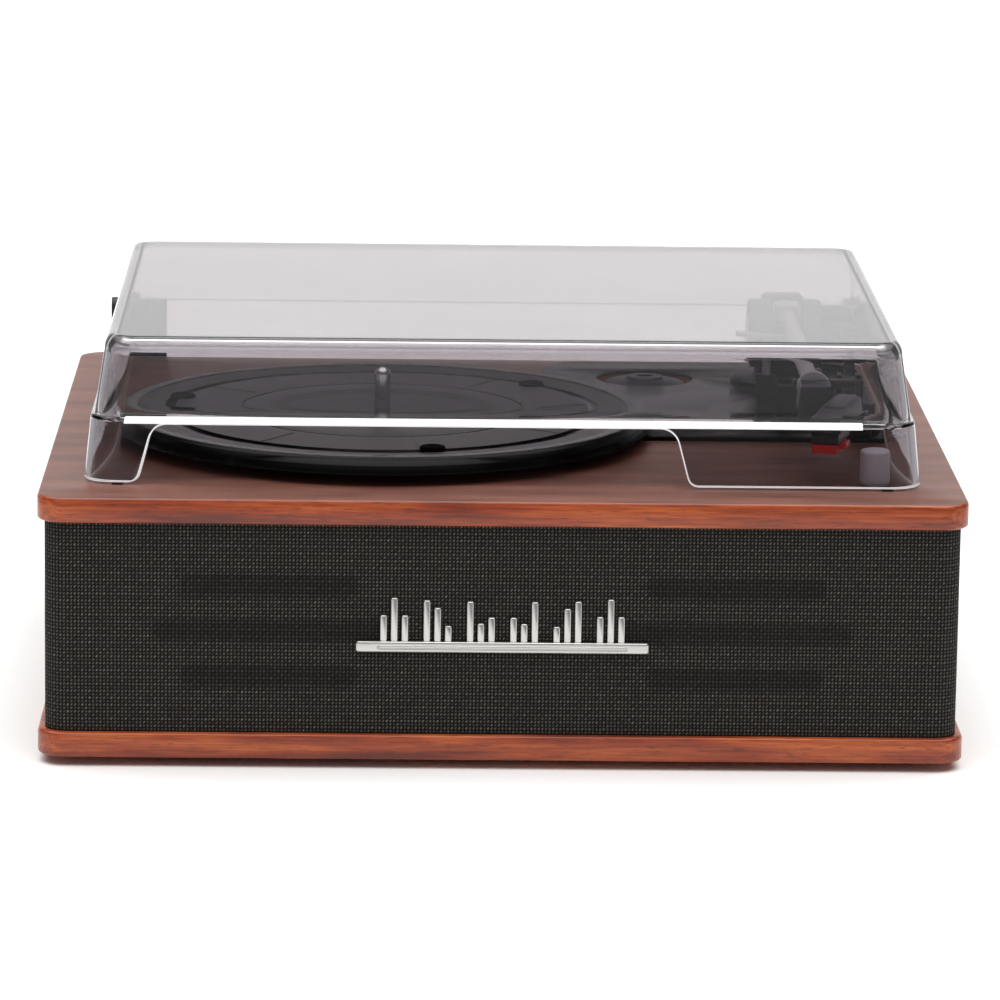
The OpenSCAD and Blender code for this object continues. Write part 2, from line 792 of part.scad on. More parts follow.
// Places its children on the baffle's inner face: the speaker's axis becomes Z, into the box
module at_speaker(s) {
    translate([s * speaker_x, -inner_d / 2, speaker_z]) rotate([-90, 0, 0]) children();
}

module speaker_frame(s) {
    color("dimgray") at_speaker(s) difference() {
        rotate_extrude() polygon([[34, 0], [speaker_r, 0], [speaker_r, 2], [34.5, 2], [22, 20],
                                  [22, 22], [12, 22], [12, 20.5], [20.5, 20.5], [32.6, 2]]);
        for (a = [45 : 90 : 315])
            rotate([0, 0, a]) translate([speaker_screw_ring, 0, -cut]) cylinder(r = 1.2, h = 4);
    }
}

module speaker_frame_left() {
    speaker_frame(-1);
}

module speaker_frame_right() {
    speaker_frame(1);
}

module speaker_cone(s) {
    color("#242424") at_speaker(s) rotate_extrude()
        polygon([[33.2, 0.3], [33.2, 0.9], [31, 1.9], [29, 1.9], [12, 16.5], [0, 19], [0, 18],
                 [11.5, 15.7], [28.5, 1.2], [31, 0.9]]);
}

module speaker_cone_left() {
    speaker_cone(-1);
}

module speaker_cone_right() {
    speaker_cone(1);
}

module speaker_magnet(s) {
    color("#3c3c3c") at_speaker(s) {
        translate([0, 0, 22]) cylinder(r = 22, h = 11);
        translate([0, 0, 19.2]) cylinder(r = 11, h = 2.8);
    }
}

module speaker_magnet_left() {
    speaker_magnet(-1);
}

module speaker_magnet_right() {
    speaker_magnet(1);
}

// ---------------------------------------------------------------- cover and hinges

// A fixed hinge block: two ears with round tops on a solid foot
module hinge_base(s) {
    x = s * hinge_x;
    color("#141416") {
        for (side = [-1, 1]) difference() {
            union() {
                x0 = x + side * (hinge_w + leaf_w) / 4 - (hinge_w - leaf_w) / 4 + 0.15;
                x1 = x0 + (hinge_w - leaf_w) / 2 - 0.3;
                block([x0, hinge_y - knuckle_r, hinge_z - knuckle_r - air],
                      [x1, hinge_y + knuckle_r, hinge_z]);
                rod_x(x0, x1, hinge_y, hinge_z, knuckle_r);
            }
            rod_x(x - hinge_w, x + hinge_w, hinge_y, hinge_z, pin_r + run);
        }
        block([x - hinge_w / 2 + 0.15, hinge_y - knuckle_r, z_deck],
              [x + hinge_w / 2 - 0.15, hinge_y + knuckle_r, hinge_z - knuckle_r - air]);
    }
}

module hinge_base_left() {
    hinge_base(-1);
}

module hinge_base_right() {
    hinge_base(1);
}

// A thin level slice of the cover: half width, front, rear and corner radius
module cover_slice(half, y0, y1, r, z) {
    translate([0, (y0 + y1) / 2, z]) linear_extrude(0.02) round_rect(2 * half, y1 - y0, r, $fn = 32);
}

// The skirt's solid, shrunk by a wall thickness t on its sides
module cover_skirt(t, z0) {
    half = cover_w / 2;
    hull() {
        cover_slice(half - t, cover_front + t, cover_rear - t, 12 - t / 2, z0);
        cover_slice(half - 2.9 - t, cover_front + 2.9 + t, cover_rear - 2.9 - t, 12 - t / 2, z_step);
    }
}

// The part above the step, with its slanting rear and rounded top edge, shrunk by t
module cover_crown(t, z0) {
    half = cover_w / 2 - 4.1;
    front = cover_front + 4.1;
    hull() {
        cover_slice(half - t, front + t, cover_rear - 4.1 - t, 11 - t / 2, z0);
        cover_slice(half - 4.6 - t, front + 1.4 + t, 133 - t, 11 - t / 2, z_top - 6 - t);
        cover_slice(half - 6 - t, front + 3 + t, 126 - t, 10 - t / 2, z_top - 1.6 - t);
        cover_slice(half - 8.5 - t, front + 6 + t, 122 - t, 9 - t / 2, z_top - 0.02 - t);
    }
}

// Points of an arc about a centre, from one angle to another
function arc_points(x, z, r, from, to) =
    [for (k = [0 : 8]) let (a = from + (to - from) * k / 8) [x + r * cos(a), z + r * sin(a)]];

// Left half of the doorway: a flared foot, a leaning side and a round upper corner
function arch_side(foot, lean) = concat(
    arc_points(foot - arch_flare_r * (1 - sin(lean)) / cos(lean), arch_flare_r, arch_flare_r, -90, -lean),
    arc_points(foot + (arch_corner_r + (arch_h - arch_corner_r) * sin(lean)) / cos(lean),
               arch_h - arch_corner_r, arch_corner_r, 180 - lean, 90));

// Front arch: the left half, and the same mirrored for the right
module front_arch() {
    left = arch_side(arch_left, arch_lean);
    right = arch_side(-arch_right, arch_lean);
    last = len(right) - 1;
    translate([0, cover_front + 12, z_cover]) rotate([90, 0, 0]) linear_extrude(24) polygon(concat(
        [[left[0][0], -cut]], left, [for (k = [last : -1 : 0]) [-right[k][0], right[k][1]]],
        [[-right[0][0], -cut]]));
}

module dust_cover() {
    color("#8d8494", 0.4) difference() {
        union() {
            cover_skirt(0, z_cover);
            cover_crown(0, z_step - 2);
        }
        cover_skirt(cover_t, z_cover - cut);
        cover_crown(cover_t, z_step - 2);
        front_arch();
    }
}

// The moving leaf of each hinge: a knuckle and a web that meets the cover's rear wall
module hinge_leaves() {
    half = leaf_w / 2 - 0.15;
    color("#141416") for (s = [-1, 1]) difference() {
        union() {
            rod_x(s * hinge_x - half, s * hinge_x + half, hinge_y, hinge_z, knuckle_r);
            block([s * hinge_x - half, cover_rear - 6, hinge_z - 4],
                  [s * hinge_x + half, hinge_y, hinge_z + 4]);
        }
        cover_skirt(0, z_cover);
        rod_x(s * hinge_x - hinge_w, s * hinge_x + hinge_w, hinge_y, hinge_z, pin_r);
    }
}

module hinge_pins() {
    color("silver") for (s = [-1, 1])
        rod_x(s * hinge_x - hinge_w / 2 + 1, s * hinge_x + hinge_w / 2 - 1, hinge_y, hinge_z, pin_r);
}

module cover_bumpers() {
    color("black") for (s = [-1, 1])
        block([s * bumper_x - bumper_w / 2, cover_front + 0.3, z_deck + 0.1],
              [s * bumper_x + bumper_w / 2, cover_front + 2.2, z_cover]);
}

bottom_panel();
top_panel();
front_baffle();
left_side_wall();
right_side_wall();
rear_wall();
corner_posts();
grille_cloth();
badge_bar();
badge_emblem();
rubber_feet();
wood_screws();
control_plate();
drive_motor();
motor_screws();
bearing_bush();
drive_belt();
tonearm_base();
arm_rest();
cue_guide();
main_board();
board_parts();
volume_pot();
rear_jack_plate();
rca_jack_left();
rca_jack_right();
aux_jack();
dc_jack();
speaker_frame_left();
speaker_frame_right();
speaker_cone_left();
speaker_cone_right();
speaker_magnet_left();
speaker_magnet_right();
hinge_base_left();
hinge_base_right();
platter();
platter_pads();
spindle();
spindle_clip();
motor_pulley();
motor_shaft();
arm_yoke();
arm_tube();
counterweight();
headshell();
cartridge();
stylus();
pivot_pins();
volume_knob();
speed_lever();
autostop_lever();
cue_lever();
cue_platform();
adapter_45();
dust_cover();
hinge_leaves();
hinge_pins();
cover_bumpers();
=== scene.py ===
# %% [markdown]
# A belt-drive record player, built up round its CAD frame. The wooden panels, the grille cloth, the
# badge, the platter, the tonearm, the knob and the clear cover are remade here as fine surfaces, and
# every other piece keeps its CAD shape with softened edges. Blender counts in metres, and a drawing
# in millimetres, so the shapes below are worked out in millimetres and scaled once, in one place.

# %% Load the frame
import json
import math

import bmesh
import bpy
import numpy as np
from mathutils import Matrix, Vector


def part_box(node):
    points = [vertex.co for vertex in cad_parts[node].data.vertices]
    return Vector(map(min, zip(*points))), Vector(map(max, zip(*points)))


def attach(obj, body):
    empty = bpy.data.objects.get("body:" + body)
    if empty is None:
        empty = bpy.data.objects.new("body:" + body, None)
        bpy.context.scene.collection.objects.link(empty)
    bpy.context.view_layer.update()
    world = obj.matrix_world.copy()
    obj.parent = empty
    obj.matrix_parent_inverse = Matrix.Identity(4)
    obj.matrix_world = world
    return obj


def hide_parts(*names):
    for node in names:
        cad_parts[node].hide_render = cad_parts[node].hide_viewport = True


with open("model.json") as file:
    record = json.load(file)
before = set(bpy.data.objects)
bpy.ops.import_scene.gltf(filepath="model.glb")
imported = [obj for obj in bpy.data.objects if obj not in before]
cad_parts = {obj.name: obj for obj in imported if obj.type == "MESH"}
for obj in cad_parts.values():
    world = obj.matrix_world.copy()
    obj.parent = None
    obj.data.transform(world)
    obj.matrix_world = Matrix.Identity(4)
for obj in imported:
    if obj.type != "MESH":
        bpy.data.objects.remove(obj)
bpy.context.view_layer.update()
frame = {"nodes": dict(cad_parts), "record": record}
MM = 0.001
TAU = 2 * math.pi
scene = bpy.context.scene
body_of = {node: body for body, nodes in frame["record"]["behaviour"]["bodies"].items() for node in nodes}


def box_mm(node):
    """Lowest and highest corners of a CAD node, in millimetres."""
    low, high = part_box(node)
    return np.array(low) / MM, np.array(high) / MM


# %% [markdown]
# The camera stands low and far away, as a product photographer's does: a long lens keeps the
# cabinet's sides almost parallel. A camera looks along its own -Z, so its turning matrix is built
# from three directions: right, up and back.

# %% Camera
CAMERA_PLACE = Vector((-0.0503, -2.5259, 0.6004))
CAMERA_YAW = math.radians(1.182)
CAMERA_PITCH = math.radians(11.59)
CAMERA_ROLL = math.radians(0.76)
LENS_MM = 202.05


def make_camera():
    """Forward is (sin yaw cos pitch, cos yaw cos pitch, -sin pitch); roll turns right towards up."""
    flat = math.cos(CAMERA_PITCH)
    forward = Vector((math.sin(CAMERA_YAW) * flat, math.cos(CAMERA_YAW) * flat,
                      -math.sin(CAMERA_PITCH)))
    across = forward.cross(Vector((0, 0, 1))).normalized()
    above = across.cross(forward)
    right = math.cos(CAMERA_ROLL) * across + math.sin(CAMERA_ROLL) * above
    up = math.cos(CAMERA_ROLL) * above - math.sin(CAMERA_ROLL) * across
    data = bpy.data.cameras.new("camera")
    data.lens = LENS_MM
    data.sensor_width = 36.0
    data.clip_end = 50.0
    camera = bpy.data.objects.new("camera", data)
    turn = Matrix((right, up, -forward)).transposed().to_4x4()
    camera.matrix_world = Matrix.Translation(CAMERA_PLACE) @ turn
    scene.collection.objects.link(camera)
    scene.camera = camera
    return camera


camera = make_camera()
scene.view_settings.view_transform = "Standard"
print("camera at", tuple(round(v, 3) for v in camera.location))

# %% [markdown]
# Two small helpers serve every material. One turns a colour as painters write it (sRGB hex) into the
# linear numbers that a renderer adds and multiplies. The other adds a shader node: each input is a
# plain value or the output of an earlier node.

# %% Colour and node helpers
def linear(code):
    """Each sRGB channel c becomes c/12.92 below 0.04045, and ((c + 0.055)/1.055)^2.4 above it."""
    channels = np.array([int(code[i:i + 2], 16) for i in (0, 2, 4)]) / 255.0
    curve = ((channels + 0.055) / 1.055) ** 2.4
    return (*np.where(channels <= 0.04045, channels / 12.92, curve).tolist(), 1.0)


def add(tree, kind, inputs=None, out=0, stops=None, **settings):
    """Adds one node and gives back an output. Stops are a colour ramp's (place, colour) pairs."""
    node = tree.nodes.new("ShaderNode" + kind)
    for name, value in settings.items():
        setattr(node, name, value)
    for socket, value in (inputs or {}).items():
        if isinstance(value, bpy.types.NodeSocket):
            tree.links.new(value, node.inputs[socket])
        else:
            node.inputs[socket].default_value = value
    if stops:
        band = node.color_ramp.elements
        while len(band) < len(stops):
            band.new(1.0)
        for element, (place, colour) in zip(band, stops):
            element.position, element.color = place, colour
    return node.outputs[out]


def start_material(name, colour, roughness, metallic=0.0, **sockets):
    """A material with one Principled shader, given back with its tree and its shader."""
    material = bpy.data.materials.new(name)
    material.use_nodes = True
    shader = material.node_tree.nodes["Principled BSDF"]
    given = {"Base Color": linear(colour), "Roughness": roughness, "Metallic": metallic}
    given.update({socket.replace("_", " "): value for socket, value in sockets.items()})
    for socket, value in given.items():
        shader.inputs[socket].default_value = value
    material.diffuse_color = linear(colour)
    return material, material.node_tree, shader


def stand_up(tree, shader, height, height_mm, strength=1.0):
    """Lights the surface as if it stood up by height_mm where the height is 1."""
    normal = add(tree, "Bump", {"Height": height, "Distance": height_mm * MM, "Strength": strength})
    tree.links.new(normal, shader.inputs["Normal"])


def speckle(tree, size_mm, detail=2.0):
    """Noise whose lumps are size_mm long along X, Y and Z of the piece."""
    scale = tuple(1.0 / (s * MM) for s in size_mm)
    place = add(tree, "TexCoord", out="Object")
    moved = add(tree, "Mapping", {"Vector": place, "Scale": scale})
    return add(tree, "TexNoise", {"Vector": moved, "Scale": 1.0, "Detail": detail})


# %% [markdown]
# The studio is a pale floor in a dim room. A clear cover and black plastic show nothing but what they
# reflect, so the light comes from a wide panel overhead and a low white wall behind the object, with
# a weak fill in front. The sides are dim, as with black flags round glassware. In front of the object
# and beside it the floor fades to a light grey, so that it mirrors less in the cover. Painting the
# light into the world keeps the render free of noise.

# %% Studio
ROOM_DIM = 0.10
BACK_WALL = 1.02
FILL = 0.45
OVERHEAD = 3.1
FLOOR_PALE, FLOOR_GREY = "FAFAF9", "A0A0A2"
PALE_REACH, FADE_LENGTH = 0.46, 0.60
FLOOR_HALF = 12.0


def smooth_step(tree, value, first, last, top=1.0, bottom=0.0):
    """Goes smoothly from bottom, where the value is first, to top, where it is last."""
    return add(tree, "MapRange", {"Value": value, "From Min": first, "From Max": last, "To Min": bottom,
                                  "To Max": top}, interpolation_type="SMOOTHSTEP")


def make_floor():
    """A flat square. The fade grows with the larger of |x| and -y beyond the pale reach."""
    half = FLOOR_HALF
    mesh = bpy.data.meshes.new("floor")
    corners = [(-half, -half, 0), (half, -half, 0), (half, half, 0), (-half, half, 0)]
    mesh.from_pydata(corners, [], [(0, 1, 2, 3)])
    floor = bpy.data.objects.new("floor", mesh)
    scene.collection.objects.link(floor)
    material, tree, shader = start_material("studio_floor_paper", FLOOR_PALE, 0.9, Specular_IOR_Level=0.1)
    place = add(tree, "TexCoord", out="Object")
    x = add(tree, "SeparateXYZ", {0: place}, out="X")
    y = add(tree, "SeparateXYZ", {0: place}, out="Y")
    sideways = add(tree, "Math", {0: x}, operation="ABSOLUTE")
    forward = add(tree, "Math", {0: y, 1: -1.0}, operation="MULTIPLY")
    reach = add(tree, "Math", {0: sideways, 1: forward}, operation="MAXIMUM")
    fade = smooth_step(tree, reach, PALE_REACH, PALE_REACH + FADE_LENGTH)
    paper = add(tree, "Mix", {0: fade, 6: linear(FLOOR_PALE), 7: linear(FLOOR_GREY)}, out=2,
                data_type="RGBA")
    tree.links.new(paper, shader.inputs["Base Color"])
    mesh.materials.append(material)


def make_room():
    """At each direction, the brightest of the dim room, the overhead panel, the low wall and the fill."""
    world = bpy.data.worlds.new("studio_room")
    world.use_nodes = True
    scene.world = world
    tree = world.node_tree
    direction = add(tree, "TexCoord", out="Generated")
    height = add(tree, "SeparateXYZ", {0: direction}, out="Z")
    rearward = add(tree, "SeparateXYZ", {0: direction}, out="Y")
    behind = smooth_step(tree, rearward, 0.55, 0.85, BACK_WALL)
    low = smooth_step(tree, height, 0.28, 0.42, 0.0, 1.0)
    wall = add(tree, "Math", {0: behind, 1: low}, operation="MULTIPLY")
    ahead = smooth_step(tree, rearward, -0.5, -0.8, FILL)
    raised = smooth_step(tree, height, 0.10, 0.30)
    fill = add(tree, "Math", {0: ahead, 1: raised}, operation="MULTIPLY")
    light = smooth_step(tree, height, 0.60, 0.85, OVERHEAD)
    for other in (wall, fill, ROOM_DIM):
        light = add(tree, "Math", {0: light, 1: other}, operation="MAXIMUM")
    tree.links.new(light, tree.nodes["Background"].inputs["Strength"])
    tree.nodes["Background"].inputs["Color"].default_value = linear("FFFFFF")


make_floor()
make_room()
print("studio made")

# %% [markdown]
# The panels are fibreboard wrapped in mahogany veneer under satin lacquer. Mahogany shows a broad
# ribbon figure, a fine straight grain, and short pores that catch the light as dashes. Three noises
# stretched along X draw them: about 90 mm, 30 mm and 6 mm long. A pore is really about 0.15 mm wide,
# and is drawn 0.5 mm wide so that it shows. The deck's top gets a darker, greyer colour than its edge.

# %% Mahogany veneer
def mahogany(name, dark, middle, light, pore, roughness, coat):
    """0.42 of the fine grain and 0.58 of the figure pick the shade, and pores darken it."""
    material, tree, shader = start_material(name, middle, roughness, Coat_Weight=coat, Coat_Roughness=0.15)
    figure = speckle(tree, (90, 16, 7), 3.0)
    grain = speckle(tree, (30, 1.5, 1.3), 4.0)
    pores = speckle(tree, (6, 0.55, 0.5), 1.0)
    broad = add(tree, "Math", {0: figure, 1: 0.58}, operation="MULTIPLY")
    both = add(tree, "Math", {0: grain, 1: 0.42, 2: broad}, operation="MULTIPLY_ADD")
    wood = add(tree, "ValToRGB", {"Fac": both}, stops=[(0.36, linear(dark)), (0.50, linear(middle)),
                                                       (0.64, linear(light))])
    opened = add(tree, "MapRange", {"Value": pores, "From Min": 0.60, "From Max": 0.72, "To Max": 0.55})
    colour = add(tree, "Mix", {0: opened, 6: wood, 7: linear(pore)}, out=2, data_type="RGBA")
    tree.links.new(colour, shader.inputs["Base Color"])
    sheen = add(tree, "MapRange", {"Value": grain, "To Min": roughness - 0.06, "To Max": roughness + 0.08})
    tree.links.new(sheen, shader.inputs["Roughness"])
    relief = add(tree, "Math", {0: grain, 1: opened}, operation="SUBTRACT")
    stand_up(tree, shader, relief, 0.03, 0.5)
    return material


wood_edge = mahogany("mahogany_veneer_edge", "651F09", "983C12", "C05F26", "47160A", 0.34, 0.15)
wood_deck = mahogany("mahogany_veneer_deck", "5F3A30", "754B3E", "88594C", "4A2C24", 0.40, 0.0)
print("wood:", wood_edge.name, wood_deck.name)

# %% [markdown]
# The grille cloth is a plain weave of black and olive-grey yarn. Every crossing shows one short
# thread that leans to the right, and light crossings alternate with dark ones both along a row and
# from row to row. The pattern reads the cloth's own UV map, which holds millimetres along the cloth,
# so it runs straight round the corners. Over a sound slot the cloth has no board behind it, and there
# its threads are dimmed as painted shade, which the mesh carries as an attribute.

# %% Grille cloth
THREAD_ACROSS_MM = 1.56
THREAD_UP_MM = 1.53
THREAD_LEAN = 0.35
THREAD_HALF_ACROSS, THREAD_HALF_UP = 0.36, 0.46
CLOTH_MAP = "cloth_millimetres"
SLOT_MARK = "over_slot"


def grille_weave():
    """A thread is an ellipse in its cell: its height is 1 - (x/a)^2 - (y/b)^2, with x sheared by the lean."""
    material, tree, shader = start_material("woven_grille_cloth", "1E1A17", 0.8, Specular_IOR_Level=0.18)
    place = add(tree, "UVMap", out="UV", uv_map=CLOTH_MAP)
    steps = add(tree, "VectorMath", {0: place, 1: (THREAD_ACROSS_MM, THREAD_UP_MM, 1.0)}, operation="DIVIDE")
    cell = add(tree, "VectorMath", {0: steps}, operation="FLOOR")
    inside = add(tree, "VectorMath", {0: add(tree, "VectorMath", {0: steps}, operation="FRACTION"),
                                      1: (0.5, 0.5, 0.0)}, operation="SUBTRACT")
    across = add(tree, "SeparateXYZ", {0: inside}, out="X")
    up = add(tree, "SeparateXYZ", {0: inside}, out="Y")
    column = add(tree, "SeparateXYZ", {0: cell}, out="X")
    row = add(tree, "SeparateXYZ", {0: cell}, out="Y")
    leaning = add(tree, "Math", {0: up, 1: -THREAD_LEAN, 2: across}, operation="MULTIPLY_ADD")
    from_side = add(tree, "Math", {0: leaning, 1: THREAD_HALF_ACROSS}, operation="DIVIDE")
    from_end = add(tree, "Math", {0: up, 1: THREAD_HALF_UP}, operation="DIVIDE")
    wide = add(tree, "Math", {0: from_side, 1: 2.0}, operation="POWER")
    tall = add(tree, "Math", {0: from_end, 1: 2.0}, operation="POWER")
    round_thread = add(tree, "Math", {0: wide, 1: tall}, operation="ADD")
    thread = add(tree, "MapRange", {"Value": round_thread, "From Min": 0.0, "From Max": 1.0,
                                    "To Min": 1.0, "To Max": 0.0})
    checker = add(tree, "Math", {0: add(tree, "Math", {0: column, 1: row}, operation="ADD"), 1: 2.0},
                  operation="FLOORED_MODULO")
    odd_row = add(tree, "Math", {0: row, 1: 2.0}, operation="FLOORED_MODULO")
    lightness = add(tree, "Math", {0: checker, 1: 0.30, 2: 0.42}, operation="MULTIPLY_ADD")
    lightness = add(tree, "Math", {0: odd_row, 1: 0.26, 2: lightness}, operation="MULTIPLY_ADD")
    lot = add(tree, "TexWhiteNoise", {"Vector": cell}, noise_dimensions="2D")
    yarn = add(tree, "ValToRGB", {"Fac": lot}, stops=[
        (0.0, linear("544F4C")), (0.35, linear("625B56")), (0.6, linear("6A655E")), (0.8, linear("5C5E52")),
        (1.0, linear("766F69"))])
    # Painted shade: over a slot the threads are dimmed to 0.45 of their colour, for the open slot behind.
    open_slot = add(tree, "Attribute", out="Fac", attribute_name=SLOT_MARK)
    slot_painted_shade = add(tree, "MapRange", {"Value": open_slot, "To Min": 1.0, "To Max": 0.45})
    cover = add(tree, "Math", {0: thread, 1: lightness}, operation="MULTIPLY")
    cover = add(tree, "Math", {0: cover, 1: slot_painted_shade}, operation="MULTIPLY")
    colour = add(tree, "Mix", {0: cover, 6: linear("0C0A09"), 7: yarn}, out=2, data_type="RGBA")
    tree.links.new(colour, shader.inputs["Base Color"])
    stand_up(tree, shader, thread, 0.3, 0.7)
    return material


cloth_finish = grille_weave()
print("cloth: a thread every", THREAD_ACROSS_MM, "mm across and", THREAD_UP_MM, "mm up")

# %% [markdown]
# Moulded plastic is one colour all through. What tells one moulding from another is the finish of
# its mould: polished, satin, or eroded by sparks into a fine even grain. One function makes them all
# from the colour, the roughness, and the size and height of the grain.

# %% Moulded plastics
def moulded(name, colour, roughness, grain_mm, grain_height_mm, **sockets):
    """Clouds of 24 mm move the tint by 12% and the roughness by 15%; the grain stands up."""
    material, tree, shader = start_material(name, colour, roughness, **sockets)
    clouds = speckle(tree, (24, 24, 24), 3.0)
    grain = speckle(tree, (grain_mm,) * 3, 2.0)
    patchy = add(tree, "MapRange", {"Value": clouds, "To Min": roughness * 0.85, "To Max": roughness * 1.15})
    tree.links.new(patchy, shader.inputs["Roughness"])
    base = np.array(linear(colour)[:3])
    tones = [(0.3, (*(base * 0.88), 1.0)), (0.7, (*np.minimum(base * 1.12, 1.0), 1.0))]
    tree.links.new(add(tree, "ValToRGB", {"Fac": clouds}, stops=tones), shader.inputs["Base Color"])
    stand_up(tree, shader, grain, grain_height_mm, 0.6)
    return material


gloss_black = moulded("gloss_black_abs", "0A0A0D", 0.22, 6.0, 0.002, Specular_IOR_Level=0.10)
satin_black = moulded("satin_black_abs", "18181B", 0.36, 0.5, 0.02)
soft_grey = moulded("satin_grey_abs", "B4B1B8", 0.34, 0.5, 0.01)
head_black = moulded("headshell_abs", "1E1D22", 0.34, 0.5, 0.02)
cartridge_grey = moulded("cartridge_body_abs", "1D1C20", 0.30, 0.5, 0.02)
hinge_black = moulded("hinge_nylon", "111113", 0.46, 0.6, 0.03)
board_black = moulded("painted_fibreboard", "191715", 0.7, 0.8, 0.06)
foot_rubber = moulded("moulded_rubber", "101010", 0.82, 0.6, 0.05)
pad_rubber = moulded("record_pad_rubber", "030304", 0.85, 0.6, 0.02, Specular_IOR_Level=0.05)
platter_face = moulded("spark_textured_abs", "454144", 0.44, 1.0, 0.35)
# Smooth black of the platter's outer band; it also goes in the hub recess and both grooves as painted shade.
rim_black_and_painted_shade = moulded("platter_rim_abs_and_painted_shade", "060507", 0.20, 3.0, 0.005, Specular_IOR_Level=0.14)
# The stylus guard glows faintly red by emission: a painted glow for light through its plastic.
stylus_red = moulded("red_polycarbonate_painted_glow", "E01008", 0.25, 2.0, 0.005, Specular_IOR_Level=0.3,
                     Emission_Color=linear("C81008"), Emission_Strength=0.10)
jack_white = moulded("white_jack_abs", "E4E2DC", 0.3, 1.0, 0.01)
jack_red = moulded("red_jack_abs", "B01818", 0.3, 1.0, 0.01)
circuit_green = moulded("solder_mask_laminate", "0F4A26", 0.35, 3.0, 0.02)
part_black = moulded("component_epoxy", "25282C", 0.5, 1.0, 0.02)
cone_paper = moulded("pressed_paper_pulp", "1E1D1C", 0.9, 0.7, 0.12)
ferrite = moulded("sintered_ferrite", "2E2E31", 0.7, 0.4, 0.03)
raw_pine = moulded("sawn_pine", "C29A66", 0.75, 1.4, 0.08)
print("plastics made")

# %% [markdown]
# Metals take their colour from reflection, so each is a tint with metallic at 1. How it was worked
# shows in its roughness: turning leaves rings, brushing leaves streaks, and polishing leaves hardly
# anything. The knob's thick anodised skin scatters light as paint does, so its metallic is low.

# %% Metals
def metal(name, colour, roughness, streak_mm, depth_mm, metallic=1.0):
    """Streaks move the roughness between 0.75 and 1.3 times its value, and stand up by depth_mm."""
    material, tree, shader = start_material(name, colour, roughness, metallic)
    streaks = speckle(tree, streak_mm, 3.0)
    worked = add(tree, "MapRange", {"Value": streaks, "To Min": roughness * 0.75, "To Max": roughness * 1.3})
    tree.links.new(worked, shader.inputs["Roughness"])
    stand_up(tree, shader, streaks, depth_mm, 0.4)
    return material


badge_silver = metal("satin_plated_badge", "C4C3C0", 0.30, (6, 6, 0.4), 0.004)
knob_aluminium = metal("bead_blasted_anodised_aluminium", "FAF8FF", 0.45, (0.4, 0.4, 0.4), 0.0005,
                       metallic=0.12)
polished_steel = metal("polished_steel", "D2D2D4", 0.10, (3, 3, 3), 0.001)
zinc_steel = metal("zinc_plated_steel", "9A9BA0", 0.34, (1.2, 1.2, 1.2), 0.01)
drawn_steel = metal("drawn_steel_can", "B4B4B6", 0.32, (0.8, 0.8, 12), 0.006)
painted_steel = metal("black_pressed_steel", "4A4B4E", 0.45, (1.0, 1.0, 1.0), 0.02)
turned_brass = metal("turned_brass", "C9A75A", 0.24, (6, 6, 0.3), 0.006)
print("metals made")

# %% [markdown]
# The cover is moulded from smoke-tinted acrylic: clear, with a faint purple cast. Light bends at
# both of its faces. The cut edges and the ledge in front get a whitish finish that glows faintly,
# a painted highlight. A faint film of polish clouds both.

# %% Acrylic
def acrylic(name, darker, lighter, roughness, haze, **sockets):
    """Clouds of 60 mm move the tint between two shades and add up to haze to the roughness."""
    material, tree, shader = start_material(name, lighter, roughness, IOR=1.49, **sockets)
    clouds = speckle(tree, (60, 60, 60), 3.0)
    tint = add(tree, "ValToRGB", {"Fac": clouds}, stops=[(0.3, linear(darker)), (0.7, linear(lighter))])
    tree.links.new(tint, shader.inputs["Base Color"])
    film = add(tree, "MapRange", {"Value": clouds, "From Min": 0.45, "From Max": 0.75, "To Min": roughness,
                                  "To Max": roughness + haze})
    tree.links.new(film, shader.inputs["Roughness"])
    return material


smoke_acrylic = acrylic("smoke_tinted_acrylic", "C3BEC1", "C9C4C7", 0.0, 0.01, Transmission_Weight=1.0)
# Painted highlight: a near-white finish that glows faintly by emission, for the cut edges and the front
# ledge.
painted_edge_highlight = acrylic("painted_highlight_acrylic_edge", "F5F3F6", "FDFCFE", 0.22, 0.06, Transmission_Weight=0.2,
                   Emission_Color=linear("FFFFFF"), Emission_Strength=0.40)
print("acrylic made")

# %% [markdown]
# New pieces are grids of points worked out with numpy. A stack of closed loops covers most shapes: a
# panel, a turned part and a bar are all loops joined to the next one, with a lid at each end.

# %% Surface helpers
def piece_from(name, points_mm, faces, materials, face_slots=None, smooth_deg=32.0):
    """Makes one piece at the origin from points in millimetres, with every face turned outwards."""
    mesh = bpy.data.meshes.new(name)
    mesh.from_pydata((np.asarray(points_mm) * MM).tolist(), [], faces)
    for material in materials:
        mesh.materials.append(material)
    if face_slots is not None:
        mesh.polygons.foreach_set("material_index", np.asarray(face_slots, dtype=np.int32))
    work = bmesh.new()
    work.from_mesh(mesh)
    bmesh.ops.recalc_face_normals(work, faces=work.faces)
    work.to_mesh(mesh)
    work.free()
    mesh.shade_smooth()
    mesh.set_sharp_from_angle(angle=math.radians(smooth_deg))
    piece = bpy.data.objects.new(name, mesh)
    scene.collection.objects.link(piece)
    return piece


def quads_between(rows, count):
    """Quads between each loop of count points and the next: (r, c), (r, c+1), (r+1, c+1), (r+1, c)."""
    r = np.arange(rows - 1)[:, None] * count
    c = np.arange(count)[None, :]
    after = (c + 1) % count
    return np.stack([r + c, r + after, r + count + after, r + count + c], axis=-1).reshape(-1, 4)


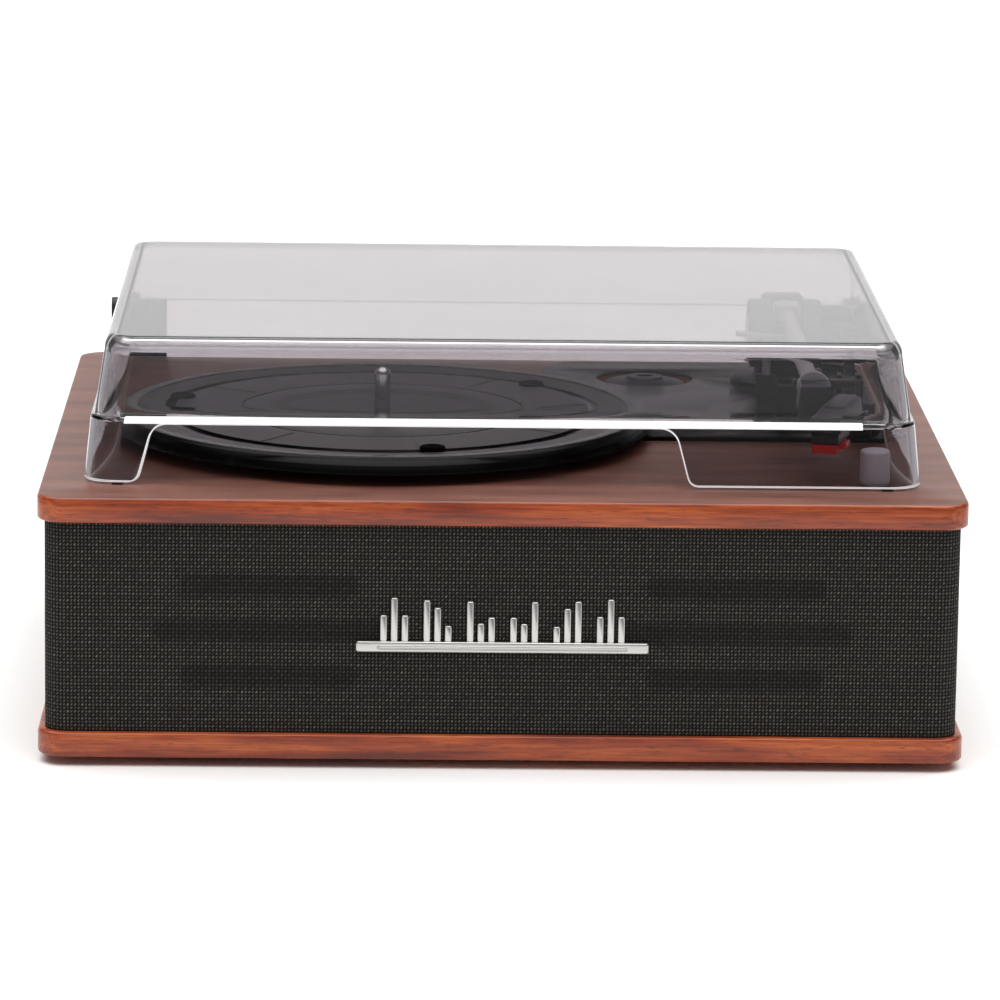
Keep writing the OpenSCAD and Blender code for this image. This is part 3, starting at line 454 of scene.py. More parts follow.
def piece_of_stacks(name, stacks, materials, row_slots=None, smooth_deg=32.0):
    """Joins each stack, (rows, count, 3), into a closed skin with lids, and all into one piece."""
    points, faces, start = [], [], 0
    for loops in stacks:
        rows, count = loops.shape[:2]
        ring = np.arange(count)
        faces += (quads_between(rows, count) + start).tolist()
        faces += [(ring + start).tolist(), (ring + start + (rows - 1) * count).tolist()]
        points.append(loops.reshape(-1, 3))
        start += rows * count
    slots = None
    if row_slots is not None:
        slots = np.concatenate([np.asarray(row_slots).ravel(), [0, 0]])
    return piece_from(name, np.concatenate(points), faces, materials, slots, smooth_deg)


def ring_quads(rows, count):
    """Quads of a ring that closes on itself: each loop to the next, and the last loop to the first."""
    c = np.arange(count)
    after, last = (c + 1) % count, (rows - 1) * count
    return np.concatenate([quads_between(rows, count), np.stack([last + c, last + after, after, c], -1)])


def stands_for(piece, node):
    """The piece rides on its node's body and hides the node."""
    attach(piece, body_of[node])
    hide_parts(node)
    return piece


def stacks_for(node, name, stacks, material, smooth_deg=32.0):
    """A piece of stacks in one finish that stands for a CAD node."""
    return stands_for(piece_of_stacks(name, stacks, [material], smooth_deg=smooth_deg), node)


def on_axes(u, v, w, along):
    """Puts an outline's u and v and its depth w on X, Y and Z, for a depth along x, y or z."""
    order = {"x": (w, u, v), "y": (u, w, v), "z": (u, v, w)}[along]
    return np.stack(np.broadcast_arrays(*order), axis=-1)


def eased_bar(circles, low, high, ease, along="z", turn=96, narrow=0.0):
    """A bar whose outline is the tight band round some circles (u, v, radius).

    In each direction the band touches the circle that reaches furthest: centre . direction + radius.
    At both ends the radii shrink along a quarter circle of size ease, and narrow is a further
    shrinkage at the high end, so that the sides can lean.
    """
    circles = np.asarray(circles, dtype=float)
    angle = np.linspace(0, TAU, turn, endpoint=False)
    direction = np.stack([np.cos(angle), np.sin(angle)])
    furthest = (circles[:, :2] @ direction + circles[:, 2:]).argmax(axis=0)
    u0, v0, radius = circles[furthest].T
    quarter = np.linspace(0, math.pi / 2, 4)
    inset = ease * (1 - np.sin(quarter))
    rise = ease * (1 - np.cos(quarter))
    shrink = np.concatenate([inset, inset[::-1] + narrow])[:, None]
    depth = np.concatenate([low + rise, (high - rise)[::-1]])[:, None]
    reach = radius - shrink
    return on_axes(u0 + reach * direction[0], v0 + reach * direction[1], depth, along)


def turned(profile, centre, steps=96, along="z"):
    """Loops of a lathe-turned part: point k of the profile, (radius, height), runs round the axis."""
    radius, height = np.asarray(profile, dtype=float).T
    angle = np.linspace(0, TAU, steps, endpoint=False)
    u = centre[0] + radius[:, None] * np.cos(angle)
    v = centre[1] + radius[:, None] * np.sin(angle)
    return on_axes(u, v, height[:, None], along)


def eased(profile, ease, cuts=3):
    """Rounds each inner corner of an open profile with a quadratic curve that starts ease before it."""
    points = np.asarray(profile, dtype=float)
    corner = points[1:-1]
    t = np.linspace(0, 1, cuts + 1)[None, :, None]
    ends = []
    for other in (points[:-2], points[2:]):
        gap = np.linalg.norm(other - corner, axis=1, keepdims=True)
        ends.append((corner + (other - corner) * np.minimum(ease / gap, 0.45))[:, None])
    curve = (1 - t) ** 2 * ends[0] + 2 * t * (1 - t) * corner[:, None] + t ** 2 * ends[1]
    return np.concatenate([points[:1], curve.reshape(-1, 2), points[-1:]])


def corner_circles(low, high, radius):
    """Four circles in the corners of a rectangle, for a bar with round corners."""
    (u0, v0), (u1, v1) = low, high
    return [(u, v, radius) for u in (u0 + radius, u1 - radius) for v in (v0 + radius, v1 - radius)]


print("helpers ready")

# %% [markdown]
# A moulded or milled edge is never quite sharp, and its thin highlight is what makes a part look
# solid. A softened copy of a CAD node has its loose triangles merged, its flat faces joined, and
# every edge over 35 degrees cut back by a small round.

# %% Softened copies of CAD nodes
SOFTEN_OVER = math.radians(35)


def softened(node, material, width_mm):
    work = bmesh.new()
    work.from_mesh(frame["nodes"][node].data)
    bmesh.ops.remove_doubles(work, verts=work.verts, dist=0.002 * MM)
    bmesh.ops.dissolve_limit(work, angle_limit=math.radians(1.0), verts=work.verts, edges=work.edges)
    sharp = [e for e in work.edges if len(e.link_faces) == 2 and e.calc_face_angle(0) > SOFTEN_OVER]
    bmesh.ops.bevel(work, geom=sharp, offset=width_mm * MM, offset_type="OFFSET", segments=2,
                    profile=0.6, affect="EDGES", clamp_overlap=True)
    mesh = bpy.data.meshes.new(node + "_soft")
    work.to_mesh(mesh)
    work.free()
    mesh.materials.append(material)
    mesh.shade_smooth()
    mesh.set_sharp_from_angle(angle=math.radians(40))
    piece = bpy.data.objects.new(node + "_soft", mesh)
    scene.collection.objects.link(piece)
    return stands_for(piece, node)


def dress(node, material):
    """Gives a CAD node its finish and leaves its shape alone."""
    mesh = frame["nodes"][node].data
    mesh.materials.clear()
    mesh.materials.append(material)


# %% [markdown]
# Each panel is one rounded outline carried from its underside to its top, with both edges eased as
# by sandpaper. The deck also has a round well for the single adapter: its top face is filled in
# between the outline and the well.

# %% Wooden panels
EDGE_EASE = 1.3
PANEL_CORNER = 12
WELL_RADIUS, WELL_STEPS = 23, 72


def panel_stack(node):
    low, high = box_mm(node)
    return eased_bar(corner_circles(low[:2], high[:2], PANEL_CORNER), low[2], high[2], EDGE_EASE, turn=120)


def make_deck():
    loops = panel_stack("top_panel")
    low, high = box_mm("adapter_45")
    centre = (low + high)[:2] / 2
    top = loops[-1, 0, 2]
    well = turned([(WELL_RADIUS, top), (WELL_RADIUS, low[2])], centre, WELL_STEPS)
    rows, count = loops.shape[:2]
    first = rows * count
    faces = quads_between(rows, count).tolist() + [list(range(count))]
    floor_start = first + WELL_STEPS
    faces += (quads_between(2, WELL_STEPS) + first).tolist()
    faces += [list(range(floor_start, floor_start + WELL_STEPS))]
    points = np.concatenate([loops.reshape(-1, 3), well.reshape(-1, 3)])
    deck = piece_from("deck_veneered", points, faces, [wood_edge, wood_deck])
    work = bmesh.new()
    work.from_mesh(deck.data)
    bmesh.ops.triangle_fill(work, edges=[e for e in work.edges if e.is_boundary], use_beauty=True)
    bmesh.ops.recalc_face_normals(work, faces=work.faces)
    for face in work.faces:
        face.material_index = int(face.normal.z > 0.8)
    work.to_mesh(deck.data)
    work.free()
    deck.data.set_sharp_from_angle(angle=math.radians(32))
    return stands_for(deck, "top_panel")


bottom = stacks_for("bottom_panel", "bottom_panel_veneered", [panel_stack("bottom_panel")], wood_edge)
deck = make_deck()
print("panels:", len(bottom.data.polygons), "and", len(deck.data.polygons), "faces")

# %% [markdown]
# The cloth is one strip stretched round the front and both sides. Its grid runs along the plan, and
# from the bottom panel up to the deck. Over each sound slot it sinks back a little, because nothing
# backs it there. Outer and inner faces are joined at all four edges, so the strip is a thin solid.

# %% Grille cloth strip
CLOTH_THICK = 0.6
CLOTH_CORNER = 10
CLOTH_STEP, CLOTH_ROWS = 2.0, 56
SLOT_LINES = [(x, z, length) for x in (-100, 100) for z, length in ((40, 77), (60, 101), (80, 77))]
SLOT_HALF_HEIGHT = 5
SLOT_SAG = 0.35


def cloth_plan(low, high):
    """Points and outward directions along the plan: left side, corner, front, corner, right side."""
    r, w, d = CLOTH_CORNER, high[0], low[1]
    side, front = high[1] - d - r, 2 * (w - r)
    arc = r * math.pi / 2
    total = 2 * side + front + 2 * arc
    s = np.linspace(0, total, int(total / CLOTH_STEP) + 1)
    left, right = s < side, s >= total - side
    turn1 = np.clip((s - side) / r, 0, math.pi / 2)
    turn2 = np.clip((s - side - arc - front) / r, 0, math.pi / 2)
    angle = math.pi + turn1 + turn2
    out = np.stack([np.cos(angle), np.sin(angle)], -1)
    centre_x = np.clip(s - side - arc, 0, front) - (w - r)
    centre_y = d + r + np.where(left, side - s, np.where(right, s - (total - side), 0))
    return s, np.stack([centre_x, centre_y], -1) + r * out, out, total


def slot_depth(x, z, front_facing):
    """1 inside a slot's outline, and a smooth step down to 0 over 2 mm outside it."""
    depth = np.zeros_like(x)
    for centre, height, length in SLOT_LINES:
        beyond = np.maximum(np.abs(x - centre) - (length / 2 - SLOT_HALF_HEIGHT), 0)
        outside = np.hypot(beyond, z - height) - SLOT_HALF_HEIGHT
        step = np.clip(0.5 - outside / 2.0, 0, 1)
        depth = np.maximum(depth, step * step * (3 - 2 * step))
    return depth * front_facing


def make_cloth():
    low, high = box_mm("grille_cloth")
    s, plan, out, total = cloth_plan(low, high)
    height = np.linspace(low[2], high[2], CLOTH_ROWS)
    front_facing = (out[:, 1] < -0.999).astype(float)
    x = np.broadcast_to(plan[:, 0], (len(height), len(s)))
    z = np.broadcast_to(height[:, None], x.shape)
    mark = slot_depth(x, z, front_facing)
    push = mark * SLOT_SAG
    skins = []
    for inward in (push, push + CLOTH_THICK):
        flat = plan[None] - out[None] * inward[..., None]
        skins.append(np.concatenate([flat, z[..., None]], axis=-1))
    rows, cols = x.shape
    grid = np.arange(rows * cols).reshape(rows, cols)
    outer = np.stack([grid[:-1, :-1], grid[:-1, 1:], grid[1:, 1:], grid[1:, :-1]], -1).reshape(-1, 4)
    inner = outer[:, ::-1] + rows * cols
    rim = np.concatenate([grid[0, :], grid[1:, -1], grid[-1, -2::-1], grid[-2:0:-1, 0]])
    edge = np.stack([rim, np.roll(rim, -1), np.roll(rim, -1) + rows * cols, rim + rows * cols], -1)
    faces = np.concatenate([outer, inner, edge]).tolist()
    points = np.concatenate([skin.reshape(-1, 3) for skin in skins])
    cloth = piece_from("grille_cloth_strip", points, faces, [cloth_finish])
    mesh = cloth.data
    corner = np.empty(len(mesh.loops), dtype=np.int32)
    mesh.loops.foreach_get("vertex_index", corner)
    flat_place = np.stack([np.broadcast_to(s, x.shape), z], -1).reshape(-1, 2)
    both = np.concatenate([flat_place, flat_place]).astype(np.float32)
    mesh.uv_layers.new(name=CLOTH_MAP).data.foreach_set("uv", both[corner].ravel())
    # The slot marks go on as an attribute, which the cloth's colour reads as painted shade over the slots.
    both_marks = np.concatenate([mark.ravel(), mark.ravel()]).astype(np.float32)
    mesh.attributes.new(SLOT_MARK, "FLOAT", "POINT").data.foreach_set("value", both_marks)
    stands_for(cloth, "grille_cloth")
    print("cloth strip:", round(total), "mm long,", round(high[2] - low[2]), "mm high")
    return cloth


make_cloth()

# %% [markdown]
# The badge is die-cast zinc with satin plating: a long bar with a fluted groove, and a row of upright
# bars standing on it. A casting has a draft and rounded edges, so every upright is a loop that
# shrinks towards its front face.

# %% Badge
GROUPS, GROUP_PITCH = 6, 18.6
UPRIGHT_PITCH, UPRIGHT_HALF, UPRIGHT_TALLEST = 4.6, 1.5, 19.0
ROUNDED_DEG = 50


def make_badge_bar():
    """Each loop is (half width, half height, corner radius, Y): the sides, then the groove."""
    low, high = box_mm("badge_bar")
    back, front = high[1], low[1]
    middle = (low[2] + high[2]) / 2
    half_w, half_h = (high[0] - low[0]) / 2, (high[2] - low[2]) / 2
    rings = [(half_w, half_h, 1.2, back), (half_w, half_h, 1.2, front + 0.8),
             (half_w - 0.25, half_h - 0.2, 1.0, front + 0.2), (half_w - 0.7, half_h - 0.55, 0.8, front),
             (half_w - 9.2, 1.25, 1.24, front), (half_w - 9.4, 1.05, 1.04, front + 0.45),
             (half_w - 9.8, 0.75, 0.74, front + 0.45), (half_w - 10.0, 0.5, 0.49, front + 0.12),
             (half_w - 10.3, 0.2, 0.19, front + 0.05)]
    loops = [eased_bar(corner_circles((-w, middle - h), (w, middle + h), r), y, y, 0.0, "y", 48)[0]
             for w, h, r, y in rings]
    return stacks_for("badge_bar", "badge_bar_cast", [np.array(loops)], badge_silver, ROUNDED_DEG)


def upright(circles, back, front):
    """Loops from back to front: two full ones, one drawn in by 0.15, and a face drawn in by 0.5."""
    steps = [(0.0, back), (0.0, front + 0.6), (0.15, front + 0.2), (0.5, front)]
    return np.array([eased_bar([(u, v, r - inset) for u, v, r in circles], y, y, 0.0, "y", 32)[0]
                     for inset, y in steps])


def make_badge_uprights():
    """The heights follow a wave: 0.68 + 0.32 cos of an angle that grows along each group and the row."""
    low, high = box_mm("badge_emblem")
    base = low[2]
    stacks = []
    for group in range(GROUPS):
        for bar in (-1, 0, 1):
            x = (group - (GROUPS - 1) / 2) * GROUP_PITCH + bar * UPRIGHT_PITCH
            wave = 0.68 + 0.32 * math.cos(math.radians(bar * 105 + group * 72))
            circles = corner_circles((x - UPRIGHT_HALF, base - 0.4),
                                     (x + UPRIGHT_HALF, base + UPRIGHT_TALLEST * wave), UPRIGHT_HALF / 2)
            stacks.append(upright(circles, high[1], low[1]))
    return stacks_for("badge_emblem", "badge_uprights_cast", stacks, badge_silver, ROUNDED_DEG)


make_badge_bar()
make_badge_uprights()
print("badge:", 3 * GROUPS, "uprights on one bar")

# %% [markdown]
# The platter is one injection moulding. Its upper face is stepped: a dished middle, a record face
# with a spark-eroded texture, a groove, and a raised outer band with a bright lip. Its section is
# turned round the spindle, and eight fine ribs stand on the record face.

# %% Platter
SPINDLE_X, SPINDLE_Y = -52.6, -29.0
RIB_FROM, RIB_TO, RIB_RISE = 70.5, 94.0, 0.35
PLATTER_TOP = [(4.0, -3.7), (15, -3.7), (15.8, -2.3), (47.5, -2.3), (53, -0.9), (64.6, -0.9), (64.9, -1.3),
               (65.5, -1.3), (65.8, -0.9), (70.4, -0.9), (70.5, -0.9), (94.0, -0.9), (94.1, -0.9),
               (95, -0.9), (95.4, -2.1), (99.6, -2.1), (100.3, -1.2), (111.4, -0.5), (112.2, 0.0),
               (117, 0.0), (118.8, -0.9), (120.5, -3.4), (121.5, -7.2)]
PLATTER_UNDER = [(117.5, -7.2), (117.5, -4.2), (58, -4.2), (58, -10.6), (55, -10.6), (55, -5.2), (12, -5.2),
                 (12, -10.7), (4.0, -10.7)]


def platter_angles():
    """Even steps of 2 degrees, with four more angles at each rib so that its sides are steep."""
    ribs = np.arange(0, 360, 45) + 11.0
    close = (ribs[:, None] + np.array([-0.55, -0.35, 0.35, 0.55])).ravel()
    angles = np.unique(np.concatenate([np.arange(0, 360, 2.0) + 0.2, close]))
    away = np.abs((angles[:, None] - ribs + 180) % 360 - 180).min(axis=1)
    return np.radians(angles), away < 0.4


def make_platter():
    lip = box_mm("platter")[1][2]
    profile = eased(PLATTER_TOP + PLATTER_UNDER, 0.35, 2)
    angle, on_rib = platter_angles()
    radius, height = profile[:, :1], profile[:, 1:] + lip
    raised = ((radius > RIB_FROM - 0.02) & (radius < RIB_TO + 0.02) & (profile[:, 1:] > -1.5)) * RIB_RISE
    height = height + raised * on_rib[None]
    x = SPINDLE_X + radius * np.cos(angle)
    y = SPINDLE_Y + radius * np.sin(angle)
    loops = np.stack(np.broadcast_arrays(x, y, height), -1)
    rows, count = loops.shape[:2]
    mid = (profile[1:, 0] + profile[:-1, 0]) / 2
    # Slot 1 is the smooth black plastic: the outer band, and, as painted shade, the hub recess and both
    # grooves.
    polished = (mid > 111.6) | (mid < 16) | ((mid > 64.5) & (mid < 65.9)) | ((mid > 95) & (mid < 100.4))
    finish = np.concatenate([polished, [False]]).astype(int)
    platter = piece_from("platter_moulded", loops.reshape(-1, 3), ring_quads(rows, count).tolist(),
                         [platter_face, rim_black_and_painted_shade], np.repeat(finish, count))
    return stands_for(platter, "platter")


platter = make_platter()
print("platter:", len(platter.data.polygons), "faces")

# %% [markdown]
# Three rubber pads in the platter hold the record. Each is a little turned disc with a dimple in its
# middle. The spindle is a polished steel pin with a domed tip: a quarter circle at the top of its
# profile.

# %% Record pads and spindle
PAD_RING = 95
PAD_DEGREES = (43.5, 163.5, 283.5)
SPINDLE_RADIUS = 3.6


def make_pads():
    top = box_mm("platter_pads")[1][2]
    profile = [(0.05, top - 0.9), (1.0, top - 0.9), (1.15, top - 0.2), (1.5, top), (4.6, top),
               (5.3, top - 0.2), (5.7, top - 0.7), (5.8, top - 2.9), (0.05, top - 2.9)]
    stacks = []
    for angle in np.radians(PAD_DEGREES):
        centre = (SPINDLE_X + PAD_RING * math.cos(angle), SPINDLE_Y + PAD_RING * math.sin(angle))
        stacks.append(turned(eased(profile, 0.15, 2), centre, 40))
    return stacks_for("platter_pads", "record_pads_rubber", stacks, pad_rubber)


def make_spindle():
    low, high = box_mm("spindle")
    r, tip = SPINDLE_RADIUS, high[2]
    dome = np.linspace(0, math.pi / 2, 10)
    profile = [(0.05, low[2]), (3.9, low[2]), (4.0, 126.7), (r, 126.9)]
    profile += list(zip(r * np.cos(dome), tip - r + r * np.sin(dome)))[:-1] + [(0.05, tip)]
    loops = turned(profile, (SPINDLE_X, SPINDLE_Y), 64)
    return stacks_for("spindle", "spindle_polished", [loops], polished_steel)


make_pads()
make_spindle()
print("pads and spindle made")

# %% [markdown]
# The tonearm turns on a collar. Over the collar stands the yoke, a dark moulding with two humped
# cheeks that hold the arm's pivots. Each cheek is a bar whose outline is the tight band round a few
# circles: a big one for the hump and small ones for the corners.

# %% Tonearm base and yoke
PIVOT = np.array([139.0, 105.0])
ARM_HEIGHT = 150.0
ARM_FRONT = PIVOT[1] - 183


def make_arm_base():
    top = box_mm("tonearm_base")[1][2]
    profile = [(4.1, 102), (8.9, 102), (8.9, 120), (26, 120), (26, 122.3), (24.5, 123.6), (16.5, 123.8),
               (15, 125), (15, top - 1), (14, top), (4.1, top)]
    loops = turned(eased(profile, 0.5), PIVOT, 96)
    return stacks_for("tonearm_base", "tonearm_base_moulded", [loops], satin_black)


def make_yoke():
    y = PIVOT[1]
    cheek = [(y, ARM_HEIGHT, 7.5), (y - 15, 142, 3.5), (y + 11, 143, 3.5), (y - 19.5, 132.2, 1.5),
             (y + 15.5, 132.2, 1.5)]
    bridge = corner_circles((y - 21, 130.6), (y + 17, 142), 1.5)
    x = PIVOT[0]
    stacks = [eased_bar(cheek, x - 18.5, x - 7, 1.2, "x"), eased_bar(cheek, x + 7, x + 16, 1.2, "x"),
              eased_bar(bridge, x - 12, x + 12, 0.8, "x"),
              turned([(0.05, 103), (4, 103), (4, 132), (0.05, 132)], PIVOT, 40)]
    return stacks_for("arm_yoke", "arm_yoke_moulded", stacks, satin_black)


make_arm_base()
make_yoke()
print("base and yoke made")

# %% [markdown]
# The arm itself is a light grey tube with a locking collar in front, a block at its pivots and a
# counterweight behind. The headshell is moulded: a neck block, a shell turned inwards by the offset
# angle, and a thin finger lift that curls up at its end. A cartridge hangs under the shell with its
# red stylus guard.

# %% Tonearm tube and weight
TUBE_RADIUS, COLLAR_RADIUS = 3.8, 7.3


def make_tube():
    front, rear = ARM_FRONT, PIVOT[1] + 30
    tube = eased([(0.05, front), (TUBE_RADIUS, front), (TUBE_RADIUS, rear), (0.05, rear)], 0.5)
    x, y = PIVOT
    block = corner_circles((x - 6, y - 8), (x + 6, y + 8), 1.5)
    collar = eased([(0.05, front + 4), (COLLAR_RADIUS, front + 4), (COLLAR_RADIUS, front + 8),
                    (0.05, front + 8)], 0.8)
    stacks = [turned(tube, (x, ARM_HEIGHT), 48, "y"), turned(collar, (x, ARM_HEIGHT), 48, "y"),
              eased_bar(block, ARM_HEIGHT - 5.5, ARM_HEIGHT + 5.5, 0.8)]
    return stacks_for("arm_tube", "arm_tube_moulded", stacks, soft_grey)


def make_counterweight():
    low, high = box_mm("counterweight")
    outline = corner_circles((low[0], low[2]), (high[0], high[2]), 2.5)
    body = eased_bar(outline, low[1], high[1], 1.2, "y")
    return stacks_for("counterweight", "counterweight_moulded", [body], satin_black)


make_tube()
make_counterweight()
print("tube and counterweight made")

# %% Headshell, cartridge and stylus
HEAD_PLACE = (140.0, -135.0)
HEAD_TURN = math.radians(-15.5)


def at_head(loops):
    """Turns a shape drawn round the stylus by the offset angle, and moves it to the stylus' place."""
    c, s = math.cos(HEAD_TURN), math.sin(HEAD_TURN)
    x, y, z = loops[..., 0], loops[..., 1], loops[..., 2]
    return np.stack([HEAD_PLACE[0] + c * x - s * y, HEAD_PLACE[1] + s * x + c * y, z], -1)


def make_headshell():
    x = PIVOT[0]
    neck = corner_circles((x - 8, ARM_FRONT - 14), (x + 8, ARM_FRONT + 4), 2.0)
    shell = [(-5.9, -1.6, 1.3), (5.9, -1.6, 1.3), (-5.9, 34, 1.3), (5.9, 34, 1.3), (-4.6, 50, 2),
             (4.6, 50, 2)]
    ridge = [(-3.4, 20, 1.5), (3.4, 20, 1.5), (-3.4, 49, 1.5), (3.4, 49, 1.5)]
    lift = [(6.4, 7.2, 1.0), (6.4, 13.8, 1.0), (13.6, 8.2, 1.5), (13.6, 12.8, 1.5)]
    curl = [(12.6, 148.0, 0.6), (15.6, 149.4, 0.6)]
    stacks = [eased_bar(neck, 142, 153.8, 1.2, narrow=1.0),
              at_head(eased_bar(shell, 141, 148.6, 0.8, narrow=0.6)),
              at_head(eased_bar(ridge, 147.6, 149.5, 0.6, narrow=0.4)),
              at_head(eased_bar(lift, 147.3, 148.6, 0.4)),
              at_head(eased_bar(curl, 7.4, 13.6, 0.4, "y", 40))]
    return stacks_for("headshell", "headshell_moulded", stacks, head_black)


def make_cartridge():
    loops = at_head(eased_bar(corner_circles((-6, -1.5), (6, 24), 0.9), 136, 141, 0.5))
    return stacks_for("cartridge", "cartridge_moulded", [loops], cartridge_grey)


def make_stylus():
    low, high = box_mm("stylus")
    bottom, top = low[2] + 1.4, high[2] - 0.7
    guard = [(y, z, 0.7) for y, z in ((-2.3, top), (19.3, top), (19.3, top - 0.1), (6, bottom),
                                      (-2.3, bottom))]
    wing = corner_circles((5.0, 4), (8.2, 15), 0.6)
    tip = [(0.05, low[2]), (0.18, low[2] + 0.15), (0.5, low[2] + 1.2), (0.05, low[2] + 1.6)]
    stacks = [at_head(eased_bar(guard, -5.5, 5.5, 0.6, "x")), at_head(eased_bar(wing, 133.4, 136, 0.5)),
              at_head(turned(tip, (0, 0), 16))]
    return stacks_for("stylus", "stylus_guard_moulded", stacks, stylus_red)


make_headshell()
make_cartridge()
make_stylus()
print("headshell, cartridge and stylus made")

# %% [markdown]
# Under the tube lies the cue platform, a curved bar about the pivot that lifts the arm. It is swept:
# a rounded section is carried along an arc, and shrinks to a round end at both ends.

# %% Cue platform and arm rest
CUE_RING, CUE_HALF_WIDE, CUE_THICK, CUE_ROD_DEGREES = 32.0, 2.2, 2.5, 20
REST_Y = -30


def make_cue_platform():
    """The section's width shrinks as a cosine over each end, and is whole along 40 steps between."""
    low, high = box_mm("cue_platform")
    top = high[2]
    ring, half_w, thick = CUE_RING, CUE_HALF_WIDE, CUE_THICK
    tilt = np.linspace(-math.pi / 2, math.pi / 2, 9)
    along = np.concatenate([np.radians(-8) + (1 + np.sin(tilt[:5])) * half_w / ring,
                            np.radians(np.linspace(-4, 46, 40)),
                            np.radians(50) - (1 - np.sin(tilt[4:])) * half_w / ring])
    width = np.concatenate([np.cos(tilt[:5]), np.ones(40), np.cos(tilt[4:])]).clip(0.03)
    section = eased_bar(corner_circles((-half_w, -thick), (half_w, 0), 0.9), 0, 0, 0.0, "z", 32)[0]
    radius = ring + section[None, :, 0] * width[:, None]
    angle = along[:, None]
    loops = np.stack([PIVOT[0] - radius * np.sin(angle), PIVOT[1] - radius * np.cos(angle),
                      np.broadcast_to(top + section[:, 1], radius.shape)], -1)
    a = math.radians(CUE_ROD_DEGREES)
    rod = turned([(0.05, low[2]), (2, low[2]), (2, top - 1), (0.05, top - 1)],
                 (PIVOT[0] - ring * math.sin(a), PIVOT[1] - ring * math.cos(a)), 32)
    return stacks_for("cue_platform", "cue_platform_moulded", [loops, rod], soft_grey)


def make_arm_rest():
    """Each bar is (left, right, half depth, corner radius, low, high, ease): foot, post, shelf, stop."""
    top = box_mm("arm_rest")[1][2]
    shelf = ARM_HEIGHT - 4.3
    bars = [(159, 169, 6, 1.5, 120, 126, 0.8), (161, 165, 3, 1.2, 125, shelf, 0.8),
            (133, 165, 3, 1.2, shelf - 2.5, shelf, 0.5), (143.3, 145.8, 3, 0.8, shelf - 1, top, 0.7)]
    stacks = [eased_bar(corner_circles((left, REST_Y - deep), (right, REST_Y + deep), r), low, high, ease)
              for left, right, deep, r, low, high, ease in bars]
    return stacks_for("arm_rest", "arm_rest_moulded", stacks, satin_black)


make_cue_platform()
make_arm_rest()
print("cue platform and arm rest made")

# %% [markdown]
# The knob is turned from aluminium bar and anodised: a cylinder with an eased top edge, a shallow
# dish, and a fine waist at its foot. The single adapter is a moulded disc with a sloping shoulder.

# %% Knob and adapter
KNOB_RADIUS = 6.85


def make_knob():
    low, high = box_mm("volume_knob")
    x, y = (low + high)[:2] / 2
    r, foot, top = KNOB_RADIUS, low[2], high[2]
    profile = [(0.05, foot), (6.2, foot), (6.2, foot + 0.8), (r, foot + 1.0), (r, top - 0.7), (r - 0.7, top),
               (r - 1.3, top - 0.02), (r - 1.7, top - 0.25), (0.05, top - 0.3)]
    loops = turned(eased(profile, 0.3), (x, y), 96)
    return stacks_for("volume_knob", "volume_knob_turned", [loops], knob_aluminium)


def make_adapter():
    low, high = box_mm("adapter_45")
    x, y = (low + high)[:2] / 2
    z, top = low[2], high[2]
    profile = [(3.65, z), (19, z), (19, z + 3.0), (18.2, z + 3.4), (11.4, z + 4.7), (9.3, z + 4.8),
               (9, top - 0.6), (8.4, top), (4.2, top), (3.65, top - 0.5)]
    loops = turned(eased(profile, 0.35), (x, y), 80)
    faces = ring_quads(*loops.shape[:2]).tolist()
    adapter = piece_from("single_adapter_moulded", loops.reshape(-1, 3), faces, [satin_black])
    return stands_for(adapter, "adapter_45")


make_knob()
make_adapter()
print("knob and adapter made")

# %% [markdown]
# The cover is one thin clear shell, 2.5 mm thick. Its skirt leans in, a ledge runs round the top of
# the skirt, and the crown above it has round edges and a slanting rear. Every level is a loop with
# the same number of points. The doorway in the front isn't cut out: there the foot of the wall is
# lifted to the doorway's outline, column by column, which keeps the mesh clean. The edge itself is
# eased on both sides, and it and the ledge in front carry a painted highlight that glows faintly.

# %% Clear cover
COVER_FOOT, LEDGE, COVER_TOP, WALL = 119.0, 147.0, 181.5, 2.5
DOOR_LEFT, DOOR_RIGHT, DOOR_TOP = -158.5, 80.8, 144.0
DOOR_LEAN, DOOR_ROUND, DOOR_FLARE = math.radians(15), 8.5, 5.0
EDGE_ROUND = 0.6
# Height, middle and half width of the band of painted highlight on the ledge in front
HIGHLIGHT_BAND_HEIGHT, HIGHLIGHT_BAND_MIDDLE, HIGHLIGHT_BAND_HALF = 2.6, -8, 161
# Half width, front Y, rear Y and corner radius: of the skirt's foot, of the crown's foot, of the knee
# where its walls end, and of the flat top
SKIRT_FOOT = (181.5, -149.0, 168.0, 12.0)
CROWN_FOOT = np.array([177.4, -144.9, 163.9, 11.0])
CROWN_KNEE = np.array([172.8, -143.5, 133.0, 11.0])
CROWN_RIM = np.array([168.9, -138.9, 122.0, 9.0])
CROWN_FOOT_Z, CROWN_ROUND = 145.0, 6.0


